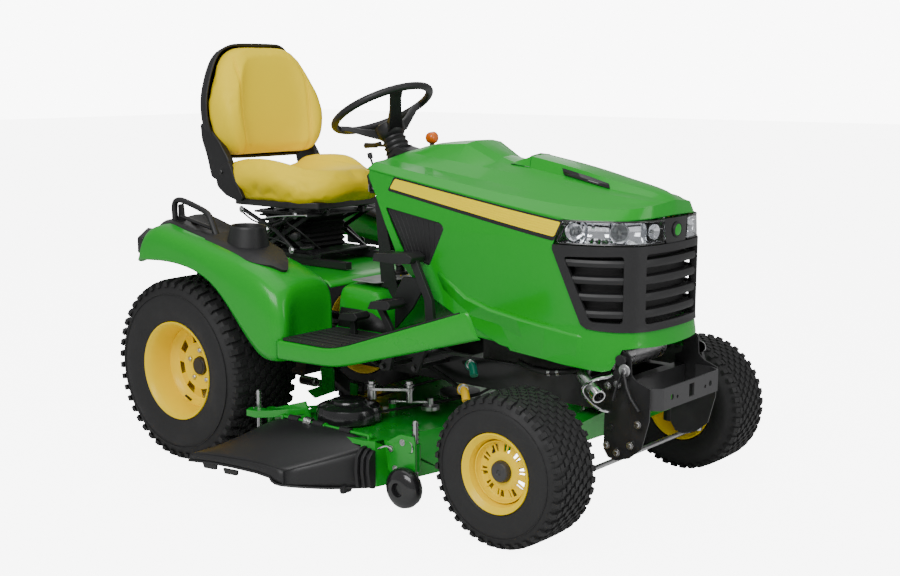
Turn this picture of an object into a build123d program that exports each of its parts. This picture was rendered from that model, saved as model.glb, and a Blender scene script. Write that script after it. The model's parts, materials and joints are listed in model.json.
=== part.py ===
"""Riding lawn mower: garden tractor with a three-blade mower deck between the axles.

Drawn in millimetres: X forward from the rear axle, Y to the left, Z up from the ground.
Every piece is moved by the same amount when it is written, so that the origin of the
finished model lies on the ground at the middle of its bounding box.
"""

import os
from math import cos, radians, sin

from build123d import *

os.makedirs("parts", exist_ok=True)

# ---------------------------------------------------------------- driving dimensions
WHEELBASE = 1400
REAR_RADIUS = 323          # 26x12-12 turf tyre
REAR_WIDTH = 300
REAR_TRACK_HALF = 469      # tyre middle plane from the centreline
REAR_FLANGE_R = 172
REAR_BEAD_R = 158
FRONT_RADIUS = 226         # 18x8.5-8 turf tyre
FRONT_WIDTH = 210
FRONT_TRACK_HALF = 517
FRONT_FLANGE_R = 118
FRONT_BEAD_R = 105
KINGPIN_HALF = 375         # kingpin from the centreline
TIE_ROD_X = 1500
TIE_ROD_Z = 178
TIE_ROD_HALF = 375
SEAM = 0.4                 # parting gap between the rails and the members joined to them

RAIL_Y = 175               # outer face of each chassis rail
RAIL_LOW = 340
RAIL_HIGH = 430
RAIL_REAR = -160
RAIL_FRONT = 1505
SIDE_PLATE_Y = 200         # middle of each front side plate
HOOD_PIVOT = (1564, 513)   # X, Z
BUMPER_FACE_X = 1681
BUMPER_HALF = 167
BUMPER_LOW = 368
BUMPER_HIGH = 435

FENDER_HALF = 600
POD_INNER = 332            # inner face of each fender pod
SEAT_FLOOR = 665
SHEET = 4                  # wall of the moulded body panels
PLATFORM_INNER = 298

WHEEL_CENTRE = (428, 1219)  # steering wheel, X and Z
WHEEL_TILT = 27.4           # its plane against the horizontal
WHEEL_R = 190
COLUMN_PIVOT_DROP = 285     # from the wheel's centre down the column

SEAT_HINGE = (235, 858)     # X, Z
BACK_LEAN = 8

SPINDLE_HALF = 405
SPINDLE_X = 672
CENTRE_SPINDLE_X = 780
BLADE_R = 203
DECK_LOW = 90
DECK_HIGH = 226
DECK_SHEET = 3.5
DECK_HALF = 622
CHUTE_HINGE = (-572, 238)   # Y, Z
GAUGE_R = 57
GAUGE_Z = 105
GAUGE_FRONT = (1035, 575)   # X and distance from the centreline
GAUGE_REAR = (392, 545)
ROCKSHAFT = (332, 318)      # X, Z

HITCH = (-212, 0)
BRAKE_PIVOT = (870, 412)    # X, Z
FORWARD_PIVOT = (775, 412)
REVERSE_PIVOT = (605, 412)

RUNNING = 0.05              # radial clearance of a pin in its bore

# the bounding box of the whole machine, which the row's origin is centred under
REAR_END = -REAR_RADIUS
CHUTE_EDGE = -778
MIDDLE_X = (REAR_END + BUMPER_FACE_X) / 2
MIDDLE_Y = (CHUTE_EDGE + DECK_HALF) / 2

SIDES = ((-1, "right"), (1, "left"))


# ---------------------------------------------------------------- helpers
def save(piece, name):
    """Move a finished piece into the row's frame, label it and write it."""
    placed = piece.part.moved(Location((-MIDDLE_X, -MIDDLE_Y, 0)))
    placed.label = name
    export_step(placed, f"parts/{name}.step")


def slab_y(points, y_from, y_to, mode=Mode.ADD):
    """Extrude an X-Z outline across the machine."""
    with BuildSketch(Plane.XZ.offset(-y_to)) as outline:
        with BuildLine():
            Polyline(*points, close=True)
        make_face()
    extrude(outline.sketch, amount=y_to - y_from, mode=mode)


def slab_z(points, z_from, z_to, mode=Mode.ADD):
    """Extrude an X-Y outline upwards."""
    with BuildSketch(Plane.XY.offset(z_from)) as outline:
        with BuildLine():
            Polyline(*points, close=True)
        make_face()
    extrude(outline.sketch, amount=z_to - z_from, mode=mode)


def slab_x(points, x_from, x_to, mode=Mode.ADD):
    """Extrude a Y-Z outline forwards."""
    with BuildSketch(Plane.YZ.offset(x_from)) as outline:
        with BuildLine():
            Polyline(*points, close=True)
        make_face()
    extrude(outline.sketch, amount=x_to - x_from, mode=mode)


def rod_x(y, z, radius, x_from, x_to, mode=Mode.ADD):
    with BuildSketch(Plane.YZ.offset(x_from)) as outline:
        with Locations((y, z)):
            Circle(radius)
    extrude(outline.sketch, amount=x_to - x_from, mode=mode)


def rod_y(x, z, radius, y_from, y_to, mode=Mode.ADD):
    with BuildSketch(Plane.XZ.offset(-y_to)) as outline:
        with Locations((x, z)):
            Circle(radius)
    extrude(outline.sketch, amount=y_to - y_from, mode=mode)


def rod_z(x, y, radius, z_from, z_to, mode=Mode.ADD):
    with BuildSketch(Plane.XY.offset(z_from)) as outline:
        with Locations((x, y)):
            Circle(radius)
    extrude(outline.sketch, amount=z_to - z_from, mode=mode)


def block(x_from, x_to, y_from, y_to, z_from, z_to, mode=Mode.ADD):
    corners = [(x_from, y_from), (x_to, y_from), (x_to, y_to), (x_from, y_to)]
    slab_z(corners, z_from, z_to, mode=mode)


def span(side, near, far):
    """Y range of something that runs from |Y| = near to |Y| = far on one side."""
    return (near, far) if side > 0 else (-far, -near)


def bar(start, end, radius, mode=Mode.ADD):
    """Round bar between two points."""
    axis = Vector(*end) - Vector(*start)
    with BuildSketch(Plane(origin=start, z_dir=axis)) as outline:
        Circle(radius)
    extrude(outline.sketch, amount=axis.length, mode=mode)


# ---------------------------------------------------------------- wheels
def make_wheel(prefix, side, name, centre, size, rim, windows):
    """Tyre and rim of one wheel, turned about the wheel's own axis."""
    x, y_middle, z = centre
    radius, width = size
    flange, bead, hub_bore, dish = rim
    half = width / 2
    wheel_plane = Plane(origin=(x, side * y_middle, z), x_dir=(1, 0, 0), z_dir=(0, side, 0))

    # local X points up, local Y points left
    section_plane = Plane(wheel_plane.origin, x_dir=(0, 0, 1), z_dir=(-1, 0, 0))

    with BuildPart() as tyre:
        with BuildSketch(section_plane) as section:
            with BuildLine():
                Polyline(
                    (bead + 0.3, -0.86 * half),
                    (flange + 1, -0.86 * half),
                    (bead + 0.34 * (radius - bead), -half),
                    (bead + 0.62 * (radius - bead), -0.98 * half),
                    (radius - 0.05 * radius, -0.88 * half),
                    (radius, -0.62 * half),
                    (radius, 0.62 * half),
                    (radius - 0.05 * radius, 0.88 * half),
                    (bead + 0.62 * (radius - bead), 0.98 * half),
                    (bead + 0.34 * (radius - bead), half),
                    (flange + 1, 0.86 * half),
                    (bead + 0.3, 0.86 * half),
                    (bead + 0.3, 0.74 * half),
                    (bead + 0.30 * (radius - bead), 0.88 * half),
                    (bead + 0.60 * (radius - bead), 0.86 * half),
                    (radius - 0.11 * radius, 0.70 * half),
                    (radius - 0.08 * radius, 0.50 * half),
                    (radius - 0.08 * radius, -0.50 * half),
                    (radius - 0.11 * radius, -0.70 * half),
                    (bead + 0.60 * (radius - bead), -0.86 * half),
                    (bead + 0.30 * (radius - bead), -0.88 * half),
                    (bead + 0.3, -0.74 * half),
                    close=True,
                )
            make_face()
        revolve(section.sketch, axis=Axis(wheel_plane.origin, (0, 1, 0)), revolution_arc=360)
    save(tyre, f"{prefix}_tyre_{name}")

    lip = 0.93 * half
    wall = 4
    disc = dish * side
    with BuildPart() as rim_part:
        with BuildSketch(section_plane) as section:
            with BuildLine():
                Polyline(
                    (bead, -0.87 * half),
                    (flange, -0.87 * half - 0.5),
                    (flange, -lip),
                    (bead - wall, -lip),
                    (bead - wall, -0.6 * half),
                    (bead - 4 * wall, -0.45 * half),
                    (bead - 4 * wall, 0.45 * half),
                    (bead - wall, 0.6 * half),
                    (bead - wall, lip),
                    (flange, lip),
                    (flange, 0.87 * half + 0.5),
                    (bead, 0.87 * half),
                    (bead, 0.6 * half),
                    (bead - 3 * wall, 0.45 * half),
                    (bead - 3 * wall, -0.45 * half),
                    (bead, -0.6 * half),
                    close=True,
                )
            make_face()
            with BuildLine():
                Polyline(
                    (hub_bore, disc - 3),
                    (bead - 3.5 * wall, disc - 3),
                    (bead - 3.5 * wall, disc + 3),
                    (hub_bore, disc + 3),
                    close=True,
                )
            make_face()
        revolve(section.sketch, axis=Axis(wheel_plane.origin, (0, 1, 0)), revolution_arc=360)
        disc_plane = Plane(
            origin=(x, side * y_middle + disc - 4, z), x_dir=(1, 0, 0), z_dir=(0, 1, 0)
        )
        with BuildSketch(disc_plane) as holes:
            with PolarLocations(windows[0], windows[1]):
                Rectangle(windows[2], windows[3])
        extrude(holes.sketch, amount=8, mode=Mode.SUBTRACT)
        if prefix == "front":
            hub_low, hub_high = sorted((side * (y_middle - 30), side * (y_middle + 48)))
            rod_y(x, z, 34, hub_low, hub_high)
            rod_y(x, z, hub_bore, hub_low, hub_high, Mode.SUBTRACT)
    save(rim_part, f"{prefix}_rim_{name}")


AXLE_SHAFT_R = 15
STUB_R = 13
for side, name in SIDES:
    make_wheel(
        "rear", side, name, (0, REAR_TRACK_HALF, REAR_RADIUS), (REAR_RADIUS, REAR_WIDTH),
        (REAR_FLANGE_R, REAR_BEAD_R, 26, 22), (112, 8, 34, 40),
    )
    make_wheel(
        "front", side, name, (WHEELBASE, FRONT_TRACK_HALF, FRONT_RADIUS),
        (FRONT_RADIUS, FRONT_WIDTH),
        (FRONT_FLANGE_R, FRONT_BEAD_R, STUB_R + RUNNING, 44), (68, 10, 20, 14),
    )


# ---------------------------------------------------------------- chassis
with BuildPart() as chassis_frame:
    for side, name in SIDES:
        channel = [
            (side * (RAIL_Y - 35), RAIL_LOW), (side * RAIL_Y, RAIL_LOW),
            (side * RAIL_Y, RAIL_HIGH), (side * (RAIL_Y - 35), RAIL_HIGH),
            (side * (RAIL_Y - 35), RAIL_HIGH - 5), (side * (RAIL_Y - 5), RAIL_HIGH - 5),
            (side * (RAIL_Y - 5), RAIL_LOW + 5), (side * (RAIL_Y - 35), RAIL_LOW + 5),
        ]
        slab_x(channel, RAIL_REAR, RAIL_FRONT)
    # cross members, axle hangers and the engine plate
    block(RAIL_REAR - 6, RAIL_REAR - SEAM, -RAIL_Y, RAIL_Y, RAIL_LOW - 30, RAIL_HIGH)
    block(
        RAIL_FRONT + SEAM, RAIL_FRONT + 40, -SIDE_PLATE_Y + 3, SIDE_PLATE_Y - 3,
        RAIL_LOW + 8, RAIL_HIGH,
    )
    hanger_half = RAIL_Y - 35 - SEAM
    for hanger_x in (WHEELBASE - 56, WHEELBASE + 46):
        block(hanger_x, hanger_x + 10, -hanger_half, hanger_half, RAIL_LOW - 5, RAIL_HIGH - 40)
        slab_x([(-60, RAIL_LOW), (60, RAIL_LOW), (30, 248), (-30, 248)], hanger_x, hanger_x + 10)
    block(960, 1430, -RAIL_Y, RAIL_Y, RAIL_HIGH + SEAM, RAIL_HIGH + 6)
    block(998, 1042, -42, 42, RAIL_HIGH - 1, RAIL_HIGH + 7, Mode.SUBTRACT)
    for side, name in SIDES:
        low, high = span(side, RAIL_Y - 35, RAIL_Y)
        block(ROCKSHAFT[0] - 18, ROCKSHAFT[0] + 18, low, high, ROCKSHAFT[1] - 16, RAIL_LOW)
    rod_y(ROCKSHAFT[0], ROCKSHAFT[1], 12 + RUNNING, -RAIL_Y - 5, RAIL_Y + 5, Mode.SUBTRACT)
    rod_x(0, 270, 14, WHEELBASE - 58, WHEELBASE + 58)          # oscillation pin
    for pin_x, reach in ((BRAKE_PIVOT[0], 352), (FORWARD_PIVOT[0], 398), (REVERSE_PIVOT[0], 398)):
        rod_y(pin_x, BRAKE_PIVOT[1], 8, -reach, -RAIL_Y)
    # drawbar plate with its hitch hole
    slab_z([(-240, -45), (-225, -62), (-160, -90), (-160, 90), (-225, 62), (-240, 45)], 322, 332)
    rod_z(*HITCH, 10, 300, 360, Mode.SUBTRACT)
save(chassis_frame, "chassis_frame")

PLATE_OUTLINE = [
    (1506, 457), (1500, 300), (1500, 230), (1516, 206), (1544, 200), (1590, 214), (1632, 250),
    (1656, 340), (1658, 435), (1612, 452), (1592, 470), (1588, 524), (1574, 537), (1552, 536),
    (1540, 522), (1532, 470),
]
with BuildPart() as front_side_plates:
    for side, name in SIDES:
        low, high = span(side, SIDE_PLATE_Y - 2.5, SIDE_PLATE_Y + 2.5)
        slab_y(PLATE_OUTLINE, low, high)
        rod_y(*HOOD_PIVOT, 10, *span(side, SIDE_PLATE_Y - 2, SIDE_PLATE_Y + 20))
        rod_y(*HOOD_PIVOT, 17, *span(side, SIDE_PLATE_Y + 16, SIDE_PLATE_Y + 24))
        for bolt_x, bolt_z in ((1530, 440), (1585, 395), (1545, 232), (1600, 262), (1525, 300)):
            rod_y(bolt_x, bolt_z, 9, *span(side, SIDE_PLATE_Y, SIDE_PLATE_Y + 8))
save(front_side_plates, "front_side_plates")

with BuildPart() as front_bumper_bar:
    wing = SIDE_PLATE_Y - 3
    slab_z(
        [
            (1585, -wing), (1640, -wing), (BUMPER_FACE_X - 4, -BUMPER_HALF - 4),
            (BUMPER_FACE_X, -BUMPER_HALF + 4), (BUMPER_FACE_X, BUMPER_HALF - 4),
            (BUMPER_FACE_X - 4, BUMPER_HALF + 4), (1640, wing), (1585, wing),
            (1585, wing - 5), (1637, wing - 5), (BUMPER_FACE_X - 8, BUMPER_HALF + 1),
            (BUMPER_FACE_X - 6, BUMPER_HALF - 6), (BUMPER_FACE_X - 6, -BUMPER_HALF + 6),
            (BUMPER_FACE_X - 8, -BUMPER_HALF - 1), (1637, -wing + 5), (1585, -wing + 5),
        ],
        BUMPER_LOW, BUMPER_HIGH,
    )
    bar_z = (BUMPER_LOW + BUMPER_HIGH) / 2
    for side, name in SIDES:
        rod_x(side * 115, bar_z, 9, BUMPER_FACE_X - 12, BUMPER_FACE_X + 6, Mode.SUBTRACT)
        rod_x(side * 84, bar_z - 4, 5.5, BUMPER_FACE_X - 12, BUMPER_FACE_X + 6, Mode.SUBTRACT)
    block(BUMPER_FACE_X - 12, BUMPER_FACE_X + 6, -15, 15, bar_z - 19, bar_z + 21, Mode.SUBTRACT)
save(front_bumper_bar, "front_bumper_bar")

with BuildPart() as transaxle:
    block(-95, 150, -125, 125, 238, 412)
    fillet(transaxle.edges().filter_by(Axis.Y), radius=30)
    rod_y(0, REAR_RADIUS, 62, -138, 138)
    rod_y(0, REAR_RADIUS, AXLE_SHAFT_R, -REAR_TRACK_HALF + 15, REAR_TRACK_HALF - 15)
    rod_x(0, 385, 34, 150, 210)
    rod_x(0, 385, 11, 210, 958)
    for side, name in SIDES:
        # hub flange and wheel bolts against the rim's disc
        rod_y(0, REAR_RADIUS, 70, *span(side, REAR_TRACK_HALF + 6, REAR_TRACK_HALF + 18.9))
        rod_y(0, REAR_RADIUS, 25.5, *span(side, REAR_TRACK_HALF - 160, REAR_TRACK_HALF + 40))
save(transaxle, "transaxle")

with BuildPart() as engine:
    block(1010, 1400, -165, 165, RAIL_HIGH + 6.5, 560)
    block(1060, 1360, -130, 130, 560, 690)
    rod_z(1210, 0, 140, 560, 730)
    rod_z(1210, 0, 95, 730, 790)
    for side, name in SIDES:
        low, high = span(side, 120, 235)
        block(1120, 1300, low, high, 590, 680)
        for fin in range(5):
            low, high = span(side, 132 + 20 * fin, 142 + 20 * fin)
            block(1105, 1315, low, high, 575, 695)
    rod_x(0, 385, 22, 975, 1040)
    block(1000, 1040, -40, 40, 370, 440)
    block(975, 1050, -30, 30, 360, 372)
save(engine, "engine")

with BuildPart() as exhaust_pipe:
    rod_y(1478, 500, 44, -120, 120)
    with BuildLine() as pipe_route:
        FilletPolyline(
            (1462, -118, 490), (1440, -200, 484), (1452, -250, 455), (1544, -300, 414), radius=24
        )
    with BuildSketch(Plane(pipe_route.line @ 0, z_dir=pipe_route.line % 0)) as pipe_section:
        Circle(19)
    sweep(pipe_section.sketch, path=pipe_route.line)
    with BuildSketch(Plane(pipe_route.line @ 1, z_dir=pipe_route.line % 1)) as pipe_bore:
        Circle(16)
    extrude(pipe_bore.sketch, amount=-70, mode=Mode.SUBTRACT)
save(exhaust_pipe, "exhaust_pipe")

with BuildPart() as fuel_tank:
    block(-105, 130, 352, 580, 672, 755)
    fillet(fuel_tank.edges().filter_by(Axis.Z), radius=30)
save(fuel_tank, "fuel_tank")


# ---------------------------------------------------------------- front axle and steering
with BuildPart() as front_axle_beam:
    slab_x(
        [
            (-352, 242), (-352, 290), (-90, 312), (90, 312), (352, 290), (352, 242),
            (90, 236), (-90, 236),
        ],
        WHEELBASE - 32, WHEELBASE + 32,
    )
    rod_x(0, 270, 30, WHEELBASE - 44, WHEELBASE + 44)
    rod_x(0, 270, 14 + RUNNING, WHEELBASE - 60, WHEELBASE + 60, Mode.SUBTRACT)
    for side, name in SIDES:
        rod_z(WHEELBASE, side * KINGPIN_HALF, 30, 241, 318)
        rod_z(WHEELBASE, side * KINGPIN_HALF, 14 + RUNNING, 200, 340, Mode.SUBTRACT)
save(front_axle_beam, "front_axle_beam")

for side, name in SIDES:
    with BuildPart() as knuckle:
        pin_y = side * KINGPIN_HALF
        rod_z(WHEELBASE, pin_y, 14, 190, 326)
        rod_z(WHEELBASE, pin_y, 22, 318.5, 328)
        rod_z(WHEELBASE, pin_y, 27, 186, 237.5)
        low, high = span(side, KINGPIN_HALF, FRONT_TRACK_HALF + 42)
        rod_y(WHEELBASE, FRONT_RADIUS, STUB_R, low, high)
        slab_z(
            [
                (WHEELBASE, pin_y - 20), (TIE_ROD_X, side * TIE_ROD_HALF - 16),
                (TIE_ROD_X + 14, side * TIE_ROD_HALF), (TIE_ROD_X, side * TIE_ROD_HALF + 16),
                (WHEELBASE, pin_y + 20),
            ],
            188, 200,
        )
        rod_z(TIE_ROD_X, side * TIE_ROD_HALF, 6, TIE_ROD_Z - 12, 190)
    save(knuckle, f"steering_knuckle_{name}")

with BuildPart() as tie_rod:
    rod_y(TIE_ROD_X, TIE_ROD_Z, 8, -TIE_ROD_HALF + 12, TIE_ROD_HALF - 12)
    for side, name in SIDES:
        rod_z(TIE_ROD_X, side * TIE_ROD_HALF, 15, TIE_ROD_Z - 9, TIE_ROD_Z + 9)
        rod_y(TIE_ROD_X, TIE_ROD_Z, 9, *span(side, 305, 355))
    rod_z(TIE_ROD_X, TIE_ROD_HALF, 6 + RUNNING, 150, 200, Mode.SUBTRACT)
    rod_z(TIE_ROD_X, -TIE_ROD_HALF, 8, 150, 200, Mode.SUBTRACT)
save(tie_rod, "tie_rod")


# ---------------------------------------------------------------- fenders and platform
FENDER_TOP = [(-195, 735), (-160, 806), (-119, 831), (142, 772), (369, 738), (440, 712)]
FENDER_FRONT = [(478, 640), (496, 560), (499, 500), (490, 421)]
FENDER_ARCH = [(433, 421), (330, 508), (212, 647), (87, 692), (-184, 690)]


def fender_line(x):
    """Height of the fender's top surface above X."""
    for (x_a, z_a), (x_b, z_b) in zip(FENDER_TOP, FENDER_TOP[1:]):
        if x_a <= x <= x_b:
            return z_a + (z_b - z_a) * (x - x_a) / (x_b - x_a)
    raise ValueError(x)


with BuildPart() as fender_deck:
    slab_y(FENDER_TOP + FENDER_FRONT + FENDER_ARCH, -FENDER_HALF, FENDER_HALF)
    # the pods' hollows, open towards the wheels
    hollow = [
        (-191, 680), (-191, 735), (-158, 802), (-119, 826.5), (142, 767.5), (369, 733.5),
        (436, 709), (474, 639), (492, 560), (495, 500), (486, 417), (433, 417), (330, 400),
        (-184, 400),
    ]
    for side, name in SIDES:
        slab_y(hollow, *span(side, POD_INNER + SHEET, FENDER_HALF - SHEET), Mode.SUBTRACT)
    block(-400, 700, -POD_INNER, POD_INNER, SEAT_FLOOR, 1000, Mode.SUBTRACT)
    block(-400, 475, -POD_INNER + SHEET, POD_INNER - SHEET, 300, SEAT_FLOOR - SHEET, Mode.SUBTRACT)
    block(470, 520, -PLATFORM_INNER, PLATFORM_INNER, 300, 900, Mode.SUBTRACT)
    for side, name in SIDES:
        # below the seat floor the inner wall would meet the tyre
        low, high = span(side, POD_INNER - SHEET - 1, POD_INNER + SHEET + 1)
        block(-400, 480, low, high, 300, SEAT_FLOOR - SHEET, Mode.SUBTRACT)
save(fender_deck, "fender_deck")


def tray_base(x):
    return fender_line(x) + 0.5


with BuildPart() as fender_trays:
    for side, name in SIDES:
        tray = [
            (-183, 852), (-183, 884), (-150, 888), (34, 812), (34, tray_base(34)),
            (-118, tray_base(-118)),
        ]
        slab_y(tray, *span(side, 350, 522))
        low, high = span(side, 468, 500)
        block(-148, 0, low, high, 780, 900, Mode.SUBTRACT)
        panel = [
            (34.5, tray_base(34.5)), (34.5, 812), (60, 806), (372, 756), (418, 733),
            (418, tray_base(418)), (369, tray_base(369)), (142, tray_base(142)),
        ]
        slab_y(panel, *span(side, 372, 540))
        rod_z(160, side * 452, 52, 784, 829)
        rod_z(160, side * 452, 41, 785, 840, Mode.SUBTRACT)
save(fender_trays, "fender_trays")

PLATFORM_TOP = [(502, 492), (745, 494), (1212, 656), (1240, 652)]
PLATFORM_SKIRT = [(1277, 586), (763, 441), (502, 431)]
with BuildPart() as foot_platform:
    for side, name in SIDES:
        slab_y(PLATFORM_TOP + PLATFORM_SKIRT, *span(side, PLATFORM_INNER, FENDER_HALF))
        hollow = [
            (506, 487), (744, 489), (1211, 650), (1236, 647), (1300, 560), (763, 400), (506, 400),
        ]
        low, high = span(side, PLATFORM_INNER - 1, FENDER_HALF - SHEET)
        slab_y(hollow, low, high, Mode.SUBTRACT)
        # the outer edge draws in towards the front
        slab_z(
            [(760, side * (FENDER_HALF + 1)), (1300, side * (FENDER_HALF + 1)), (1300, side * 535)],
            380, 700, Mode.SUBTRACT,
        )
        taper = [
            (760, side * FENDER_HALF), (1277, side * 537), (1277, side * 533),
            (760, side * (FENDER_HALF - SHEET)),
        ]
        slab_z(taper, 441, 656)
    slab_y([(700, 656.5), (745, 494), (1212, 656), (1240, 652), (1240, 700), (700, 700)],
           -FENDER_HALF, FENDER_HALF, Mode.SUBTRACT)
    slab_y([(760, 441), (1277, 586), (1300, 586), (1300, 430), (760, 430)],
           -FENDER_HALF, FENDER_HALF, Mode.SUBTRACT)
    # tunnel between the two treads
    tunnel = [(502, 488), (502, 640), (655, 632), (705, 540), (705, 490)]
    slab_y(tunnel, -PLATFORM_INNER - 1, PLATFORM_INNER + 1)
    tunnel_hollow = [(490, 440), (490, 636), (653, 628), (700, 539), (720, 440)]
    slab_y(tunnel_hollow, -PLATFORM_INNER + SHEET, PLATFORM_INNER - SHEET, Mode.SUBTRACT)
    # slots that the pedal arms pass through
    for slot_x, slot_y, slot_length in ((955, -338, 110), (845, -380, 90), (660, -380, 90)):
        block(slot_x - slot_length / 2, slot_x + slot_length / 2, slot_y - 9, slot_y + 9,
              460, 640, Mode.SUBTRACT)
save(foot_platform, "foot_platform")

with BuildPart() as foot_mats:
    for side, name in SIDES:
        low, high = span(side, PLATFORM_INNER + 6, FENDER_HALF - 12)
        slab_y([(512, 494.5), (740, 494.5), (738, 501), (512, 503)], low, high)
        low, high = span(side, 410, 545)
        slab_y([(752, 497.5), (1040, 597.5), (1038, 603.5), (750, 503.5)], low, high)
    block(600, 704, -392, -368, 480, 520, Mode.SUBTRACT)
save(foot_mats, "foot_mats")

with BuildPart() as height_dial:
    rod_z(560, -59, 24, 639, 652)
    rod_z(560, -59, 17, 652, 672)
save(height_dial, "height_dial")

with BuildPart() as body_lamps:
    for side, name in SIDES:
        rod_x(side * 560, 720, 15, -203, -195.5)               # rear reflector lamps
    rod_z(554, 120, 9, 1048, 1104)
    rod_x(120, 1118, 20, 536, 572)                             # amber lamp on the dash
save(body_lamps, "body_lamps")


# ---------------------------------------------------------------- pedals
def pedal(name, pivot, pad, arm, arm_y, hub_half):
    """Flat arm on a bushed hub, with its pad on top."""
    pivot_x, pivot_z = pivot
    with BuildPart() as lever:
        slab_y(arm, arm_y - 4, arm_y + 4)
        slab_y(pad[0], pad[1], pad[2])
        rod_y(pivot_x, pivot_z, 16, arm_y - hub_half, arm_y + hub_half)
        rod_y(pivot_x, pivot_z, 8 + RUNNING, arm_y - 30, arm_y + 30, Mode.SUBTRACT)
    save(lever, name)


pedal(
    "brake_pedal", BRAKE_PIVOT,
    ([(722, 771), (728, 790), (872, 784), (868, 768), (800, 764)], -368, -306),
    [(860, 426), (866, 398), (882, 400), (952, 560), (940, 640), (872, 780), (845, 770),
     (912, 640), (920, 565)],
    -338, 7,
)
pedal(
    "forward_pedal", FORWARD_PIVOT,
    ([(788, 636), (800, 656), (868, 664), (886, 650), (868, 640)], -418, -346),
    [(766, 424), (774, 398), (842, 404), (856, 520), (850, 646), (826, 642), (838, 524),
     (826, 428)],
    -380, 7,
)
pedal(
    "reverse_pedal", REVERSE_PIVOT,
    ([(612, 566), (622, 586), (690, 592), (704, 578), (690, 568)], -418, -346),
    [(596, 424), (604, 398), (662, 404), (672, 480), (668, 574), (646, 572), (654, 484),
     (646, 428)],
    -380, 7,
)


# ---------------------------------------------------------------- dash and steering column
COLUMN_AXIS = (-sin(radians(WHEEL_TILT)), 0, cos(radians(WHEEL_TILT)))


def on_column(drop):
    """Point on the steering axis, drop millimetres below the wheel's centre."""
    return (
        WHEEL_CENTRE[0] - drop * COLUMN_AXIS[0], 0, WHEEL_CENTRE[1] - drop * COLUMN_AXIS[2],
    )


with BuildPart() as dash_tower:
    slab_y([(640, 500), (660, 500), (700, 610), (700, 640), (628, 940), (600, 940)], -232, 232)
    slab_y([(640, 380), (702, 500), (704, 610), (704, 640), (632, 950), (604.5, 950)],
           -228, 228, Mode.SUBTRACT)
    slab_y([(480, 480), (700, 480), (706, 545), (656, 636), (480, 644)], -301, 301, Mode.SUBTRACT)
    slab_y([(600, 930), (604, 926), (740, 936), (740, 940), (600, 940)], -232, 232)
save(dash_tower, "dash_tower")

with BuildPart() as dash_cowl:
    slab_y([(520, 940.5), (616, 940.5), (616, 1068), (560, 1046), (505, 1000)], -168, 168)
    slab_y([(524, 944), (612, 944), (612, 1062), (562, 1042), (510, 1000)],
           -164, 164, Mode.SUBTRACT)
    block(480, 606, -84, 84, 930, 1100, Mode.SUBTRACT)
save(dash_cowl, "dash_cowl")

with BuildPart() as steering_column:
    with BuildSketch(Plane(on_column(265), z_dir=COLUMN_AXIS)) as foot:
        Circle(52)
    with BuildSketch(Plane(on_column(70), z_dir=COLUMN_AXIS)) as collar:
        Circle(34)
    loft([foot.sketch, collar.sketch])
    with BuildSketch(Plane(on_column(310), z_dir=COLUMN_AXIS)) as root:
        Circle(30)
    extrude(root.sketch, amount=50)
    with BuildSketch(Plane(on_column(400), z_dir=COLUMN_AXIS)) as bore:
        Circle(12 + RUNNING)
    extrude(bore.sketch, amount=400, mode=Mode.SUBTRACT)
    tilt_x, tilt_y, tilt_z = on_column(COLUMN_PIVOT_DROP)
    rod_y(tilt_x, tilt_z, 10, -78, -12.3)
    rod_y(tilt_x, tilt_z, 10, 12.3, 78)
save(steering_column, "steering_column")

with BuildPart() as steering_wheel:
    wheel_plane = Plane((WHEEL_CENTRE[0], 0, WHEEL_CENTRE[1]), x_dir=(0, 1, 0), z_dir=COLUMN_AXIS)
    rim_start = wheel_plane.from_local_coords((WHEEL_R - 13, 0, 0))
    with BuildSketch(Plane(rim_start, x_dir=COLUMN_AXIS, z_dir=wheel_plane.y_dir)) as rim_section:
        Circle(13)
    revolve(
        rim_section.sketch,
        axis=Axis(wheel_plane.origin, COLUMN_AXIS), revolution_arc=360,
    )
    hub_drop = 45
    with BuildSketch(Plane(on_column(hub_drop + 20), z_dir=COLUMN_AXIS)) as hub:
        Circle(42)
    extrude(hub.sketch, amount=34)
    for angle in (90, 215, 325):
        reach = (WHEEL_R - 16) * cos(radians(angle)), (WHEEL_R - 16) * sin(radians(angle))
        outer = wheel_plane.from_local_coords((reach[0], reach[1], -2))
        inner = on_column(hub_drop)
        bar(inner, tuple(outer), 11)
    with BuildSketch(Plane(on_column(300), z_dir=COLUMN_AXIS)) as shaft:
        Circle(12)
    extrude(shaft.sketch, amount=300 - hub_drop)
save(steering_wheel, "steering_wheel")

with BuildPart() as tilt_lever:
    pivot = on_column(150)
    rod_y(pivot[0], pivot[2], 8, 46.5, 72)
    bar((pivot[0], 66, pivot[2]), (308, 100, 1083), 5)
    bar((308, 100, 1083), (250, 108, 1080), 9)
save(tilt_lever, "tilt_lever")

with BuildPart() as throttle_lever:
    rod_y(560, 1010, 8, -190, -168.5)
    bar((560, -180, 1010), (540, -184, 1060), 4)
    bar((540, -184, 1060), (535, -184, 1078), 9)
save(throttle_lever, "throttle_lever")

with BuildPart() as pto_knob:
    rod_y(548, 985, 7, 168.5, 192)
    rod_y(548, 985, 18, 192, 206)
save(pto_knob, "pto_knob")

with BuildPart() as ignition_key:
    rod_y(548, 962, 8, -182, -168.5)
    block(546, 550, -204, -180, 950, 974)
save(ignition_key, "ignition_key")


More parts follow.
